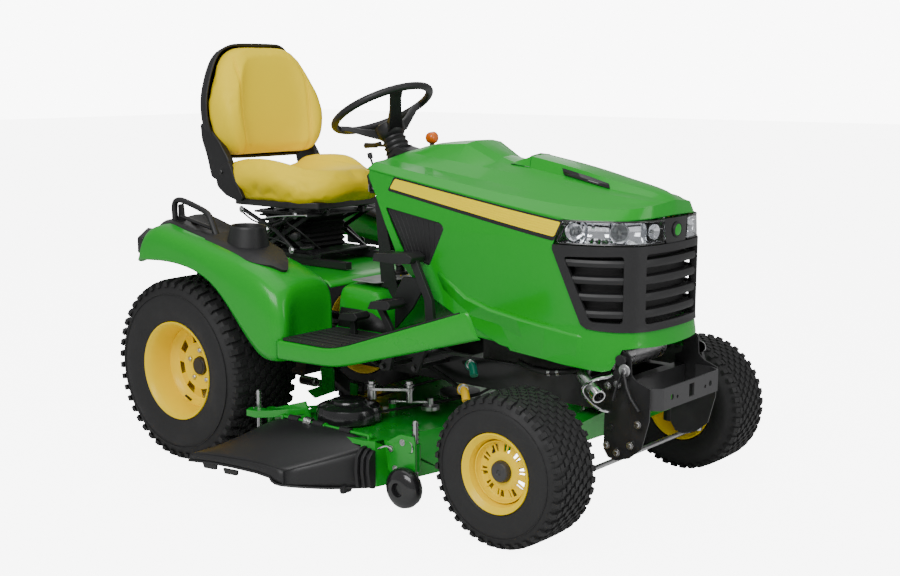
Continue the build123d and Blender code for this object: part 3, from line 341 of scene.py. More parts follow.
# ---------------------------------------------------------------- kept CAD shapes
for node, material, bevel in (
    ("chassis_frame", BLACK_STEEL, 1.2), ("front_side_plates", BLACK_STEEL, 1.0),
    ("front_bumper_bar", GREY_STEEL, 1.2), ("transaxle", CAST, 3), ("engine", CAST, 3),
    ("fuel_tank", PLASTIC, 4), ("front_axle_beam", STEEL_PAINT, 3),
    ("steering_knuckle_left", BLACK_STEEL, 1.5), ("steering_knuckle_right", BLACK_STEEL, 1.5),
    ("tie_rod", STEEL, 1.2), ("exhaust_pipe", STEEL, 0.8), ("dash_tower", PLASTIC, 2),
    ("dash_cowl", PLASTIC, 5), ("steering_column", PLASTIC, 2), ("tilt_lever", PLASTIC, 1.5),
    ("throttle_lever", PLASTIC, 1.5), ("pto_knob", YELLOW_CAP, 2), ("ignition_key", STEEL, 0.5),
    ("seat_rails", BLACK_STEEL, 1.5), ("seat_suspension", BLACK_STEEL, 1.5),
    ("blade_spindle_right", BLACK_STEEL, 1),
    ("blade_spindle_centre", BLACK_STEEL, 1), ("blade_spindle_left", BLACK_STEEL, 1),
    ("deck_belt", RUBBER, 1), ("idler_arm", STEEL, 1), ("lift_arms", BLACK_STEEL, 1.2),
    ("deck_shell", STEEL_PAINT, 3),
):
    dressed(node, material, bevel)

# ---------------------------------------------------------------- tyres and rims
WHEELS = {
    # prefix: (x, |y| of middle, z, radius, half width, flange radius, bead radius)
    "rear": (0, 469, 323, 323, 150, 172, 158),
    "front": (1400, 517, 226, 226, 105, 118, 105),
}


def tyre_section(radius, half, flange):
    """Cross-section of the carcass from the inner bead to the outer bead, as (along, radius)."""
    tread_low = radius - 0.035 * radius
    crown = [
        (-0.70, tread_low), (-0.45, tread_low + 0.010 * radius), (0, tread_low + 0.014 * radius),
        (0.45, tread_low + 0.010 * radius), (0.70, tread_low),
    ]
    wall = [
        (0.86, flange + 1), (0.905, flange + 3), (0.93, flange + 0.06 * (radius - flange)),
        (0.93, flange + 0.10 * (radius - flange)), (0.975, flange + 0.20 * (radius - flange)),
        (0.995, flange + 0.36 * (radius - flange)), (0.995, flange + 0.50 * (radius - flange)),
        (0.97, flange + 0.64 * (radius - flange)), (0.935, flange + 0.68 * (radius - flange)),
        (0.90, flange + 0.80 * (radius - flange)), (0.82, tread_low - 0.03 * (radius - flange)),
    ]
    left = [(-h * half, r) for h, r in wall]
    right = [(h * half, r) for h, r in reversed(wall)]
    inside = [(0.80 * half, flange - 6), (0.5 * half, flange - 10), (-0.5 * half, flange - 10),
              (-0.80 * half, flange - 6)]
    return left + [(h * half, r) for h, r in crown] + right + inside


def tread_radius(h, radius, half):
    """Crown of the tread at h millimetres from the middle plane."""
    t = abs(h) / half
    drop = 0.012 * t ** 2 if t < 0.72 else 0.0062 + 0.45 * (t - 0.72) ** 1.7
    return radius * (1 - drop)


def tread_blocks(centre, outward, radius, half, rows, count):
    """Staggered rows of turf blocks and long shoulder lugs as one mesh."""
    u, v = frame_along(outward)
    d, c = Vector(outward).normalized(), Vector(centre)

    def spot(h, angle, r):
        return c + d * h + (u * cos(angle) + v * sin(angle)) * r

    verts, faces = [], []
    pitch = 2 * pi / count
    sink = 0.05 * radius
    bands = []
    centre_half = 0.56 * half
    width = 2 * centre_half / rows
    for row in range(rows):
        low = -centre_half + row * width
        bands.append((low + 0.07 * width, low + 0.93 * width, (row % 2) * 0.5, 0.80, 0.16))
    for sign in (-1, 1):
        bands.append((sign * 0.60 * half, sign * 0.76 * half, 0.25, 0.70, 0.1))
        bands.append((sign * 0.765 * half, sign * 0.93 * half, 0.25, 0.50, 0.02))
    for near, far, shift, fill, skew in bands:
        for k in range(count):
            start = pitch * (k + shift)
            length = pitch * fill
            base = len(verts)
            corners = [
                (near, start + skew * pitch), (near, start + length),
                (far, start + length - skew * pitch), (far, start),
            ]
            mid_h, mid_a = (near + far) / 2, start + length / 2
            for h, a in corners:
                verts.append(spot(h, a, tread_radius(h, radius, half) - sink))
            for h, a in corners:
                top_h, top_a = h + (mid_h - h) * 0.10, a + (mid_a - a) * 0.12
                verts.append(spot(top_h, top_a, tread_radius(top_h, radius, half)))
            faces += [(base + 4, base + 5, base + 6, base + 7)]
            faces += [(base + i, base + (i + 1) % 4, base + 4 + (i + 1) % 4, base + 4 + i)
                      for i in range(4)]
    return mesh_of(verts, faces)


def window_disc(centre, outward, profile, count, window, steps):
    """Dished disc as a lathe with windows left out; window is (ring from, ring to, share)."""
    total = count * steps
    first, last, share = window
    faces = [face for n, face in enumerate(grid_faces(len(profile), total))
             if not (first <= n // total < last and n % total % steps < share)]
    return mesh_of(turned(profile, centre, outward, total), faces)


for prefix, (x, y_middle, z, radius, half, flange, bead) in WHEELS.items():
    for side, name in SIDES:
        centre = (x, side * y_middle, z)
        outward = (0, side, 0)
        body = f"{prefix}_wheel_{name}"
        carcass = lathe(tyre_section(radius, half, flange), centre, outward, steps=96, closed=True)
        rows, count = (7, 46) if prefix == "rear" else (6, 40)
        tread = tread_blocks(centre, outward, radius, half, rows, count)
        ring = lathe([(0.962 * half, flange + 0.665 * (radius - flange)),
                      (0.985 * half, flange + 0.66 * (radius - flange)),
                      (0.985 * half, flange + 0.645 * (radius - flange)),
                      (0.962 * half, flange + 0.635 * (radius - flange))],
                     centre, outward, steps=96, closed=True)
        piece(f"{prefix}_tyre_{name}.tread", joined([carcass, tread, ring]), TYRE, body,
                  smooth=32, replaces=f"{prefix}_tyre_{name}")
        lip = 0.93 * half
        barrel = lathe(
            [(-lip, flange), (-lip, flange - 5), (-0.8 * half, bead - 5), (-0.5 * half, bead - 14),
             (0.40 * half, bead - 14), (0.60 * half, bead - 9), (0.80 * half, bead - 5),
             (lip - 3, flange - 7), (lip, flange - 3), (lip, flange), (lip - 4, flange + 1.5),
             (0.87 * half, flange), (0.80 * half, bead), (0.60 * half, bead - 4),
             (0.45 * half, bead - 10), (-0.5 * half, bead - 10), (-0.8 * half, bead),
             (-0.87 * half, flange)],
            centre, outward, steps=96, closed=True,
        )
        if prefix == "rear":
            profile = [(22, 30), (22, 52), (24, 74), (27, 80), (27, 84), (24, 92), (20, 118),
                       (26, 128), (34, 138), (46, bead - 13)]
            disc = window_disc(centre, outward, profile, 8, (4, 6, 4), 8)
            nuts = [bolt((x + 56 * cos(a), side * (y_middle + 22), z + 56 * sin(a)), outward,
                         9, 12) for a in (pi * 2 * k / 5 + 0.3 for k in range(5))]
            hub = lathe([(16, 34), (26, 34), (30, 31), (36, 31), (38, 28), (38, 12), (34, 10)],
                        centre, outward)
            hub_skin = BLACK_STEEL
        else:
            profile = [(54, 26), (54, 40), (53, 50), (49, 56), (47, 60), (44, 80), (46, 86),
                       (58, 92), (68, bead - 13)]
            disc = window_disc(centre, outward, profile, 10, (3, 5, 5), 10)
            face = Vector((x, side * (y_middle + 50), z))
            rays = [Vector((cos(a), 0, sin(a))) for a in
                    (2 * pi * k / 10 + 0.13 for k in range(10))]
            nuts = [tube([face + ray * 56 + Vector((0, side, 0)), face + ray * 84], 3.2, 8, 0)
                    for ray in rays]
            hub = lathe([(40, 33), (62, 33), (70, 31), (75, 27), (77, 20), (77, 8), (74, 6),
                         (74, 3)], centre, outward)
            hub_skin = GREY_STEEL
        piece(f"{prefix}_rim_{name}.barrel", barrel, WHEEL_PAINT, body, bevel=0.8,
              replaces=f"{prefix}_rim_{name}")
        piece(f"{prefix}_rim_{name}.disc", disc, WHEEL_PAINT, body, solid=4, bevel=1.0)
        piece(f"{prefix}_rim_{name}.hub", hub, hub_skin, body, bevel=0.8)
        piece(f"{prefix}_rim_{name}.nuts", joined(nuts),
              STEEL if prefix == "rear" else WHEEL_PAINT, body)
        valve_angle = -1.9 if prefix == "rear" else 2.2
        valve_r = bead - 26
        base = Vector((x + valve_r * cos(valve_angle), side * (y_middle + 0.3 * half),
                       z + valve_r * sin(valve_angle)))
        inward = Vector((-cos(valve_angle), side * 1.2, -sin(valve_angle))).normalized()
        stem = tube([base + inward * reach for reach in (-6, 12, 30)], 4.2, 10, 0)
        piece(f"{prefix}_rim_{name}.valve", stem, RUBBER, body)

# ---------------------------------------------------------------- hood and nose
# plan of the hood's skin from the middle of the nose to the rear, as (X, half width)
PLAN = [
    (1611, 0), (1609, 60), (1602, 120), (1588, 165), (1560, 198), (1500, 238), (1440, 260),
    (1373, 274), (1300, 283), (1200, 289), (1100, 291), (900, 292), (760, 291), (600, 289),
]


def plan_table():
    """Dense samples of PLAN with their distance from the nose: (distance, X, Y)."""
    points = []
    padded = [(PLAN[1][0], -PLAN[1][1])] + PLAN + [(440, 288)]
    for p0, p1, p2, p3 in zip(padded, padded[1:], padded[2:], padded[3:]):
        for k in range(12):
            t = k / 12
            points.append([
                0.5 * (2 * b + (c - a) * t + (2 * a - 5 * b + 4 * c - d) * t * t
                       + (3 * b - a - 3 * c + d) * t ** 3)
                for a, b, c, d in zip(p0, p1, p2, p3)
            ])
    points.append(PLAN[-1])
    table, run = [], 0.0
    for i, (x, y) in enumerate(points):
        if i:
            run += ((x - points[i - 1][0]) ** 2 + (y - points[i - 1][1]) ** 2) ** 0.5
        table.append((run, x, y))
    return table


TABLE = plan_table()


def along_x(x):
    """Distance from the nose along the skin at station X of the side."""
    for (s0, x0, _), (s1, x1, _) in zip(TABLE, TABLE[1:]):
        if x1 <= x <= x0:
            return s0 + (s1 - s0) * (x0 - x) / max(x0 - x1, 1e-6)
    return TABLE[-1][0]


def along_y(y):
    """Distance from the nose along the skin at |Y| of the front."""
    for (s0, _, y0), (s1, _, y1) in zip(TABLE, TABLE[1:]):
        if y0 <= y <= y1:
            return s0 + (s1 - s0) * (y - y0) / max(y1 - y0, 1e-6)
    return TABLE[-1][0]


def wrapped(s, z, out=0.0):
    """Point on the hood's skin; s is signed, positive on the right side."""
    distance = min(abs(s), TABLE[-1][0] - 1e-3)
    for (s0, x0, y0), (s1, x1, y1) in zip(TABLE, TABLE[1:]):
        if s0 <= distance <= s1:
            t = (distance - s0) / max(s1 - s0, 1e-9)
            x, y = x0 + (x1 - x0) * t, y0 + (y1 - y0) * t
            n = Vector((y1 - y0, -(x1 - x0))).normalized()
            break
    flare = 16 * min(max((605 - z) / 110, 0), 1) * min(max((700 - distance) / 280, 0), 1)
    lean = -6 * min(max((z - 860) / 100, 0), 1) * min(distance / 200, 1)
    x += n.x * (out + flare + lean)
    y += n.y * (out + flare + lean)
    return (x, -y if s > 0 else y, z)


def rounded(outline, radius, steps=4):
    """Closed outline with its corners rounded."""
    made = []
    count = len(outline)
    for i, corner in enumerate(outline):
        p, a, b = Vector(corner), Vector(outline[i - 1]), Vector(outline[(i + 1) % count])
        reach = min(radius, (a - p).length * 0.45, (b - p).length * 0.45)
        start, end = p + (a - p).normalized() * reach, p + (b - p).normalized() * reach
        for k in range(steps + 1):
            t = k / steps
            made.append(tuple(start * (1 - t) ** 2 + p * 2 * t * (1 - t) + end * t * t))
    return made


def strip_loft(lines):
    """Open surface through lines of equally many points."""
    return mesh_of([p for line in lines for p in line],
                   grid_faces(len(lines), len(lines[0]), wrap=False))


def ring_loft(rings):
    """Closed skin through rings of equally many points."""
    return mesh_of([p for ring in rings for p in ring],
                   grid_faces(len(rings), len(rings[0]), ends=True))


def skin_mesh(outlines, place, step=(22, 30)):
    """Flat outlines, the first around the others as holes, cut fine and laid on a surface."""
    loops = [[Vector((a, b, 0)) for a, b in outline] for outline in outlines]
    flat = [p for loop in loops for p in loop]
    work = bmesh.new()
    verts = [work.verts.new(p) for p in flat]
    for triangle in tessellate_polygon(loops):
        try:
            work.faces.new([verts[i] for i in triangle])
        except ValueError:
            continue
    bmesh.ops.recalc_face_normals(work, faces=work.faces)
    for axis, size in enumerate(step):
        values = [p[axis] for p in flat]
        low, high = min(values), max(values)
        k = int(low // size) + 1
        while k * size < high:
            normal = Vector((axis == 0, axis == 1, 0))
            bmesh.ops.bisect_plane(
                work, geom=work.verts[:] + work.edges[:] + work.faces[:], dist=1e-4,
                plane_co=normal * (k * size), plane_no=normal,
            )
            k += 1
    for v in work.verts:
        v.co = at(*place(v.co.x, v.co.y))
    bmesh.ops.remove_doubles(work, verts=work.verts, dist=1e-6)
    mesh = bpy.data.meshes.new("skin")
    work.to_mesh(mesh)
    work.free()
    return mesh


def facing(mesh, behind):
    """Turn the mesh's normals away from a point."""
    if sum((p.center - behind).dot(p.normal) for p in mesh.polygons) < 0:
        mesh.flip_normals()
    return mesh


def outward_skin(outlines, out, step=(22, 30)):
    """Skin on the hood's surface whose normals point away from the machine."""
    return facing(skin_mesh(outlines, lambda s, z: wrapped(s, z, out), step),
                  at(1000, 0, 700))


def top_skin(outline, side, height, step):
    """Outline given as (X, |Y|) laid on a height above the ground, facing up."""
    mesh = skin_mesh([outline], lambda x, y: (x, side * y, height(x, y)), step)
    return facing(mesh, at(0, 0, -100000))


def mirrored(outline):
    return [(-s, z) for s, z in outline]


sx, sy = along_x, along_y
SIDE_TOP = [(sx(1384), 921), (sx(1335), 927), (sx(1238), 941), (sx(1115), 959), (sx(989), 978),
            (sx(884), 993), (sx(780), 1008), (sx(690), 1022), (sx(626), 1034)]
SIDE_PANEL = SIDE_TOP + [
    (sx(622), 1010), (sx(640), 975), (sx(700), 860), (sx(763), 740), (sx(861), 658),
    (sx(1000), 592), (sx(1172), 522), (sx(1404), 489), (sx(1510), 476), (sx(1530), 482),
    (sx(1543), 510), (sx(1556), 542), (sy(172), 546), (sy(100), 542), (0, 540),
    (0, 590), (sy(100), 590), (sy(165), 591), (sx(1540), 592), (sx(1500), 595), (sx(1462), 600),
    (sx(1446), 612), (sx(1400), 725), (sx(1354), 838), (sx(1357), 852),
]
SCREEN_HOLE = rounded([(sx(697), 915), (sx(934), 880), (sx(950), 864), (sx(889), 738),
                       (sx(783), 767)], 12)
for side, name in SIDES:
    flip = mirrored if side > 0 else list
    panel = outward_skin([flip(SIDE_PANEL), flip(SCREEN_HOLE)], 0.0)
    piece(f"hood_side_{name}", panel, PAINT, "hood", smooth=50, solid=4, bevel=1.2,
          replaces="hood_shell" if side < 0 else None)
    screen = outward_skin([flip(SCREEN_HOLE)], -5.0)
    piece(f"side_screen_{name}", screen, PLASTIC, "hood", smooth=50, solid=1.5,
          replaces="side_screens" if side < 0 else None)
    rib_lines = []
    for k in range(9):
        a = (sx(712 + 24 * k), 905 - 3.4 * k)
        b = (sx(795 + 14 * k), 772 - 3.2 * k)
        rib_lines.append(tube([wrapped(s if side < 0 else -s, z, -4.0) for s, z in (a, b)],
                              0.9, 6, 0))
    piece(f"side_screen_ribs_{name}", joined(rib_lines), PLASTIC, "hood")

# lines that run along the top from rear to front, outermost first, as (X, half width, Z)
SHOULDER = [(619, 287, 1035), (690, 288, 1024), (780, 288, 1010), (884, 288, 995),
            (989, 288, 980), (1041, 287, 972), (1115, 286, 961), (1238, 283, 943),
            (1335, 277, 929), (1400, 268, 920), (1490, 240, 918), (1560, 198, 920),
            (1598, 128, 924)]
CREASE_A = [(630, 262, 1056), (690, 260, 1048), (780, 258, 1034), (884, 256, 1019),
            (989, 253, 1004), (1041, 251, 996), (1115, 248, 986), (1238, 240, 971),
            (1335, 232, 961), (1405, 222, 955), (1490, 202, 952), (1558, 172, 952),
            (1590, 116, 960)]
CREASE_B = [(645, 215, 1064), (700, 205, 1056), (780, 193, 1044), (884, 190, 1030),
            (989, 190, 1017), (1041, 191, 1011), (1115, 194, 1001), (1233, 199, 985),
            (1335, 194, 975), (1418, 178, 970), (1515, 148, 966), (1562, 125, 964),
            (1593, 98, 962)]
CREASE_C = [(655, 130, 1084), (700, 135, 1080), (775, 140, 1072), (870, 138, 1062),
            (989, 128, 1046), (1041, 124, 1040), (1115, 122, 1030), (1238, 124, 1013),
            (1320, 128, 1001), (1418, 122, 990), (1515, 113, 981), (1566, 100, 974),
            (1596, 72, 964)]
SCOOP_FOOT = [(664, 70, 1094), (715, 92, 1106), (790, 100, 1113), (880, 92, 1117),
              (989, 74, 1062), (1041, 66, 1056), (1118, 66, 1048), (1238, 68, 1030),
              (1335, 72, 1014), (1418, 78, 999), (1515, 72, 988), (1568, 60, 980),
              (1599, 46, 967)]
SCOOP_EDGE = [(670, 34, 1098), (715, 46, 1111), (790, 50, 1119), (880, 46, 1125),
              (986, 38, 1076), (1041, 50, 1062), (1112, 52, 1084), (1238, 54, 1063),
              (1335, 56, 1043), (1418, 54, 1023), (1515, 46, 1004), (1572, 34, 989),
              (1601, 24, 970)]
CENTRE = [(676, 0, 1099), (715, 0, 1112), (790, 0, 1121), (880, 0, 1127), (990, 0, 1080),
          (1045, 0, 1066), (1112, 0, 1090), (1238, 0, 1069), (1335, 0, 1051), (1418, 0, 1033),
          (1515, 0, 1013), (1582, 0, 995), (1603, 0, 972)]
TOP_LINES = [SHOULDER, CREASE_A, CREASE_B, CREASE_C, SCOOP_FOOT, SCOOP_EDGE, CENTRE]
# stations of those lines where the scoop steps, and the first line that steps there
SCOOP_STATIONS = (3, 4, 5, 6)
SCOOP_FROM = 3
# lower edge of the brow, from the corner to the middle
BROW_FOOT = [(1600, 100, 925), (1602, 74, 926), (1604, 48, 926), (1605, 25, 927), (1606, 0, 927)]


def hood_top():
    """The hood's top from its lines, creased along them and across its front."""
    work = bmesh.new()
    layer = work.edges.layers.float.new("crease_edge")
    for sign in (-1, 1):
        grid = [[work.verts.new((x, sign * y, z)) for x, y, z in line] for line in TOP_LINES]
        foot = [work.verts.new((x, sign * y, z)) for x, y, z in BROW_FOOT]
        last = len(grid[0]) - 1
        for i in range(len(grid) - 1):
            for j in range(last):
                work.faces.new((grid[i][j], grid[i][j + 1], grid[i + 1][j + 1], grid[i + 1][j]))
        front = [grid[0][last]] + foot
        for i in range(1, len(grid) - 1):
            work.faces.new((front[i - 1], front[i], grid[i + 1][last], grid[i][last]))
        along = [(line[j], line[j + 1]) for line in grid[:-1] for j in range(last)]
        brow = [(grid[i][last], grid[i + 1][last]) for i in range(1, len(grid) - 1)]
        scoop = [(grid[i][j], grid[i + 1][j]) for j in SCOOP_STATIONS
                 for i in range(SCOOP_FROM, len(grid) - 1)]
        for ends in along + brow + scoop:
            edge = work.edges.get(ends)
            if edge:
                edge[layer] = 1.0
    bmesh.ops.remove_doubles(work, verts=work.verts, dist=1e-3)
    bmesh.ops.recalc_face_normals(work, faces=work.faces)
    if sum(f.normal.z for f in work.faces) < 0:
        bmesh.ops.reverse_faces(work, faces=work.faces)
    for v in work.verts:
        v.co = at(*v.co)
    mesh = bpy.data.meshes.new("hood_top")
    work.to_mesh(mesh)
    work.free()
    return mesh


piece("hood_top", hood_top(), PAINT, "hood", smooth=4, subsurf=3, solid=4)

# scoop vent and side slots
for side, name in SIDES:
    mouth = mesh_of(
        on_side(side, [(1040, 68, 1057), (1046, 0, 1067.5), (1110, 0, 1091), (1110, 52, 1085),
                       (1116, 66, 1050)]),
        [(0, 1, 2, 3, 4)],
    )
    piece(f"hood_vent_{name}", mouth, GLOSS_BLACK, "hood", solid=1)
    slot_mesh = mesh_of(
        on_side(side, [(1238, 63, 1052), (1250, 71, 1032), (1424, 80, 1000), (1412, 66, 1013),
                       (1340, 64, 1031)]),
        [(0, 1, 2, 3, 4)],
    )
    piece(f"hood_slot_{name}", slot_mesh, GLOSS_BLACK, "hood", solid=3)

# facets along the lower side: (X, Z, how far out) of the upper crease and the lower edge
for side, name in SIDES:
    flip = -1 if side > 0 else 1
    upper = [(925, 716, 1), (1000, 672, 3), (1040, 648, 6), (1134, 622, 9), (1240, 606, 10),
             (1338, 592, 9), (1440, 574, 2), (1500, 560, -6)]
    middle = [(945, 676, -1), (1010, 622, -2), (1058, 590, -3), (1172, 580, -2), (1262, 552, 4),
              (1338, 546, 6), (1440, 530, 0), (1500, 520, -8)]
    lower = [(958, 642, -4), (1022, 576, -7), (1063, 536, -8), (1190, 528, -8), (1214, 508, -3),
             (1325, 500, 1), (1440, 486, -3), (1500, 478, -9)]
    rows = [[wrapped(flip * along_x(x), z, out + 1.5) for x, z, out in line]
            for line in (upper, middle, lower)]
    edge_row = [wrapped(flip * along_x(x), z, -3) for x, z, _ in lower]
    top_row = [wrapped(flip * along_x(x), z + 14, -1) for x, z, _ in upper]
    piece(f"hood_facets_{name}", strip_loft([top_row] + rows + [edge_row]), PAINT, "hood",
          smooth=8, solid=2)

# stripe: black border, yellow field and fine lines
for side, name in SIDES:
    flip = mirrored if side > 0 else list
    border = rounded([(sx(706), 968), (sx(734), 1014), (sx(1386), 917), (sx(1358), 855)], 8)
    field = rounded([(sx(716), 976), (sx(739), 1008), (sx(1378), 912), (sx(1358), 868)], 6)
    piece(f"stripe_border_{name}", outward_skin([flip(border)], 0.5), GLOSS_BLACK, "hood",
          smooth=60)
    piece(f"stripe_field_{name}", outward_skin([flip(field)], 1.0), YELLOW_TRIM, "hood", smooth=60)
    lines = []
    for k in range(1, 6):
        t = k / 6
        rear = (960, 935 + 40 * t)
        front_x = 1360 + 16 * t
        z_front = 868 + 44 * t
        points = []
        for n in range(15):
            u = n / 14
            x = rear[0] + (front_x - rear[0]) * u
            z = rear[1] + (z_front - rear[1]) * u
            points.append(wrapped(sx(x) * (1 if side < 0 else -1), z, 1.1))
        lines.append(tube(points, 0.8, 6, 0))
    piece(f"stripe_lines_{name}", joined(lines), WHEEL_PAINT, "hood")

# grille
GRILLE_OUTER = [(sx(1355), 846), (sx(1354), 832), (sx(1402), 720), (sx(1447), 612),
                (sx(1464), 601), (sx(1502), 596), (sx(1545), 593), (sy(165), 592),
                (sy(100), 591), (0, 591)]
grille_outline = GRILLE_OUTER + [(-s, z) for s, z in reversed(GRILLE_OUTER[:-1])]
SIDE_OPENING = rounded([(sx(1392), 812), (sx(1556), 818), (sx(1556), 618), (sx(1474), 622)], 12)
FRONT_OPENING = rounded([(sy(146), 822), (-sy(146), 822), (-sy(146), 614), (sy(146), 614)], 12)
frame_mesh = outward_skin(
    [grille_outline, SIDE_OPENING, mirrored(SIDE_OPENING), FRONT_OPENING], 5.0, (14, 20)
)
piece("grille_frame", frame_mesh, PLASTIC, "hood", smooth=50, solid=16, bevel=3.5, segments=3,
      replaces="nose_grille")


def louvre(s_from, s_to, z, height, depth):
    """Curved slat that follows the skin, its outer edge lower than its inner one."""
    steps, drop, out = 24, 8, 1.0
    section = [(height / 2, out - depth), (height / 2 - drop * 0.4, out - 2),
               (0, out + 2), (-height / 2, out), (-height / 2 - 2, out - 5),
               (height / 2 - 8, out - depth - 3)]
    stations = [s_from + (s_to - s_from) * k / steps for k in range(steps + 1)]
    return ring_loft([[wrapped(s, z + dz, o) for dz, o in section] for s in stations])


slats = []
for row in range(4):
    z = 646 + 50 * row
    slats.append(louvre(-sy(150), sy(150), z, 26, 24))
    outer = sx(1474 - (z - 622) * 0.43) + 6
    for sign in (-1, 1):
        slats.append(louvre(sign * sx(1560), sign * outer, z, 24, 24))
        if row:
            thin = [wrapped(sign * (sx(1530) + (outer - 24 - sx(1530)) * k / 10), z - 25, -12)
                    for k in range(11)]
            nuts.append(tube(thin, 6, 10, 0))
piece("grille_louvres", joined(slats), PLASTIC, "hood", smooth=40, bevel=1)
# black rubber sheet behind the louvres: painted shade that darkens the grille's gaps
painted_shade_sheet = outward_skin([[(sx(1380), 835), (sx(1460), 606), (-sx(1460), 606), (-sx(1380), 835)]],
                       -34.0)
piece("grille_painted_shade", painted_shade_sheet, RUBBER, "hood", solid=1.5)

# headlights
LENS_OUTLINE = [(sx(1383), 917), (sx(1440), 917), (sx(1510), 916), (sx(1573), 918),
                (sy(120), 920), (sy(70), 922), (sy(58), 854), (sy(120), 850), (sx(1573), 849),
                (sx(1500), 849), (sx(1440), 850), (sx(1362), 852)]
for side, name in SIDES:
    flip = mirrored if side > 0 else list
    piece(f"headlight_lens_{name}", outward_skin([flip(LENS_OUTLINE)], 1.0, (10, 12)), LENS,
          "hood", smooth=60, solid=3, replaces="headlight_lenses" if side < 0 else None)
    sign = 1 if side < 0 else -1
    # fluted reflector behind the lens
    reflector = []
    for i in range(91):
        share = i / 90
        s = sy(66) + (sx(1376) - sy(66)) * share
        flute = 3.2 * abs((i % 6) / 3 - 1) if 0.42 < share < 0.86 else 0
        reflector.append([wrapped(sign * s, 852 + 66 * j / 8, -27 + 20 * (j / 4 - 1) ** 2 - flute)
                          for j in range(9)])
    piece(f"headlight_reflector_{name}", strip_loft(reflector), CHROME, "hood", smooth=25)
    bowls, bulbs = [], []
    for s_mid, size in ((sx(1545), 27), (sx(1418), 24), (sy(105), 20)):
        base = Vector(wrapped(sign * s_mid, 885, -26))
        tip = Vector(wrapped(sign * s_mid, 885, 0))
        direction = tip - base
        bowls.append(lathe([(0, 6), (4, 0.45 * size), (11, 0.8 * size), (18, size),
                            (20, size + 2.5), (14, size + 2.5), (2, 0.5 * size)],
                           base, direction, steps=32, closed=True))
        bulbs.append(lathe([(0, 5), (8, 6), (14, 5), (17, 2)], base, direction, steps=16))
    piece(f"headlight_bowls_{name}", joined(bowls), CHROME, "hood", smooth=40)
    piece(f"headlight_bulbs_{name}", joined(bulbs), GREY_GRAPHIC, "hood")
    rims = []
    for z in (917.5, 850.5):
        path = [wrapped(sign * (sy(66) + (sx(1376) - sy(66)) * k / 30), z, -0.5)
                for k in range(31)]
        rims.append(tube(path, 3.0, 8, 0))
    rims.append(tube([wrapped(sign * sx(1400), 914, -6), wrapped(sign * sx(1368), 856, -6)],
                     2.6, 8, 0))
    piece(f"headlight_bezel_{name}", joined(rims), GLOSS_BLACK, "hood")

nose = outward_skin([rounded([(sy(66), 921), (-sy(66), 921), (-sy(56), 847), (sy(56), 847)], 6)],
                    1.0, (10, 12))
piece("nose_centre", nose, GLOSS_BLACK, "hood", smooth=50, solid=10, bevel=2)
boss = lathe([(-8, 24), (4, 24), (7, 22), (7, 19), (5, 18), (5, 17)], (1611, 0, 884),
             (1, 0, -0.05))
piece("nose_boss", boss, PLASTIC, "hood", bevel=0.8)
disc = lathe([(0, 17.5), (6, 17.5), (7.5, 14), (7.8, 6)], (1611, 0, 884), (1, 0, -0.05))
piece("nose_disc", disc, PAINT, "hood", bevel=0.4)

# ---------------------------------------------------------------- fenders
# fender pod, rear to front and down its front face: (X, Z top, Z arch, |Y| inner, |Y| outer)
POD = [
    (-236, 692, 682, 372, 566), (-222, 704, 688, 362, 582), (-200, 728, 694, 352, 594),
    (-186, 770, 696, 340, 598), (-166, 806, 697, 334, 600), (-119, 830, 700, 334, 600),
    (-40, 812, 704, 334, 600), (87, 788, 694, 334, 600), (212, 762, 648, 334, 600),
    (330, 738, 512, 334, 600), (400, 712, 445, 334, 599), (436, 688, 424, 334, 596),
]
# its rounded front corner and the hollow wall beside the tread, inner to outer
POD_FRONT = [
    [(462, 336, 655), (462, 352, 676), (464, 466, 676),
     (468, 534, 668), (474, 574, 640), (478, 592, 590),
     (480, 594, 505), (476, 592, 422)],
    [(482, 337, 640), (484, 354, 655), (486, 462, 650),
     (494, 520, 640), (503, 556, 600), (508, 572, 560),
     (510, 574, 500), (503, 574, 421)],
    [(494, 338, 610), (492, 356, 620), (486, 458, 600),
     (484, 505, 590), (500, 530, 570), (508, 542, 545),
     (510, 545, 500), (504, 546, 421)],
    [(497, 338, 580), (490, 358, 570), (482, 440, 560),
     (478, 490, 550), (486, 512, 530), (490, 516, 510),
     (490, 517, 480), (486, 517, 421)],
    [(498, 338, 520), (488, 358, 520), (480, 430, 515),
     (476, 480, 505), (478, 494, 495), (478, 497, 480),
     (478, 498, 460), (476, 498, 421)],
    [(498, 338, 424), (488, 358, 424), (480, 430, 424),
     (476, 460, 424), (476, 470, 424), (476, 476, 424),
     (476, 480, 423), (476, 484, 421)],
]
for side, name in SIDES:
    rows = []
    for x, z_top, z_arch, near, far in POD:
        drop = max(0, min(1, (x - 60) / 300))
        inner = max(min(z_top - 14, 668 if x > -180 else z_top - 6), z_arch + 3)
        sill = max(z_top - 34 - 40 * drop, z_arch + 6)
        rows.append([
            (x, side * near, inner), (x, side * (near + 14), z_top - 4),
            (x, side * (near + far) / 2, z_top + 2), (x, side * (far - 44 - 12 * drop), z_top - 2),
            (x + 8 * drop, side * (far - 16), z_top - 12 - 18 * drop),
            (x, side * far, sill), (x, side * (far - 1), 0.5 * (sill + z_arch)),
            (x, side * (far - 3), z_arch),
        ])
    rows += [on_side(side, row) for row in POD_FRONT]
    pod = strip_loft(list(zip(*rows)))
    piece(f"fender_pod_{name}", pod, PAINT, smooth=70, subsurf=2, solid=4,
          replaces="fender_deck" if side < 0 else None)

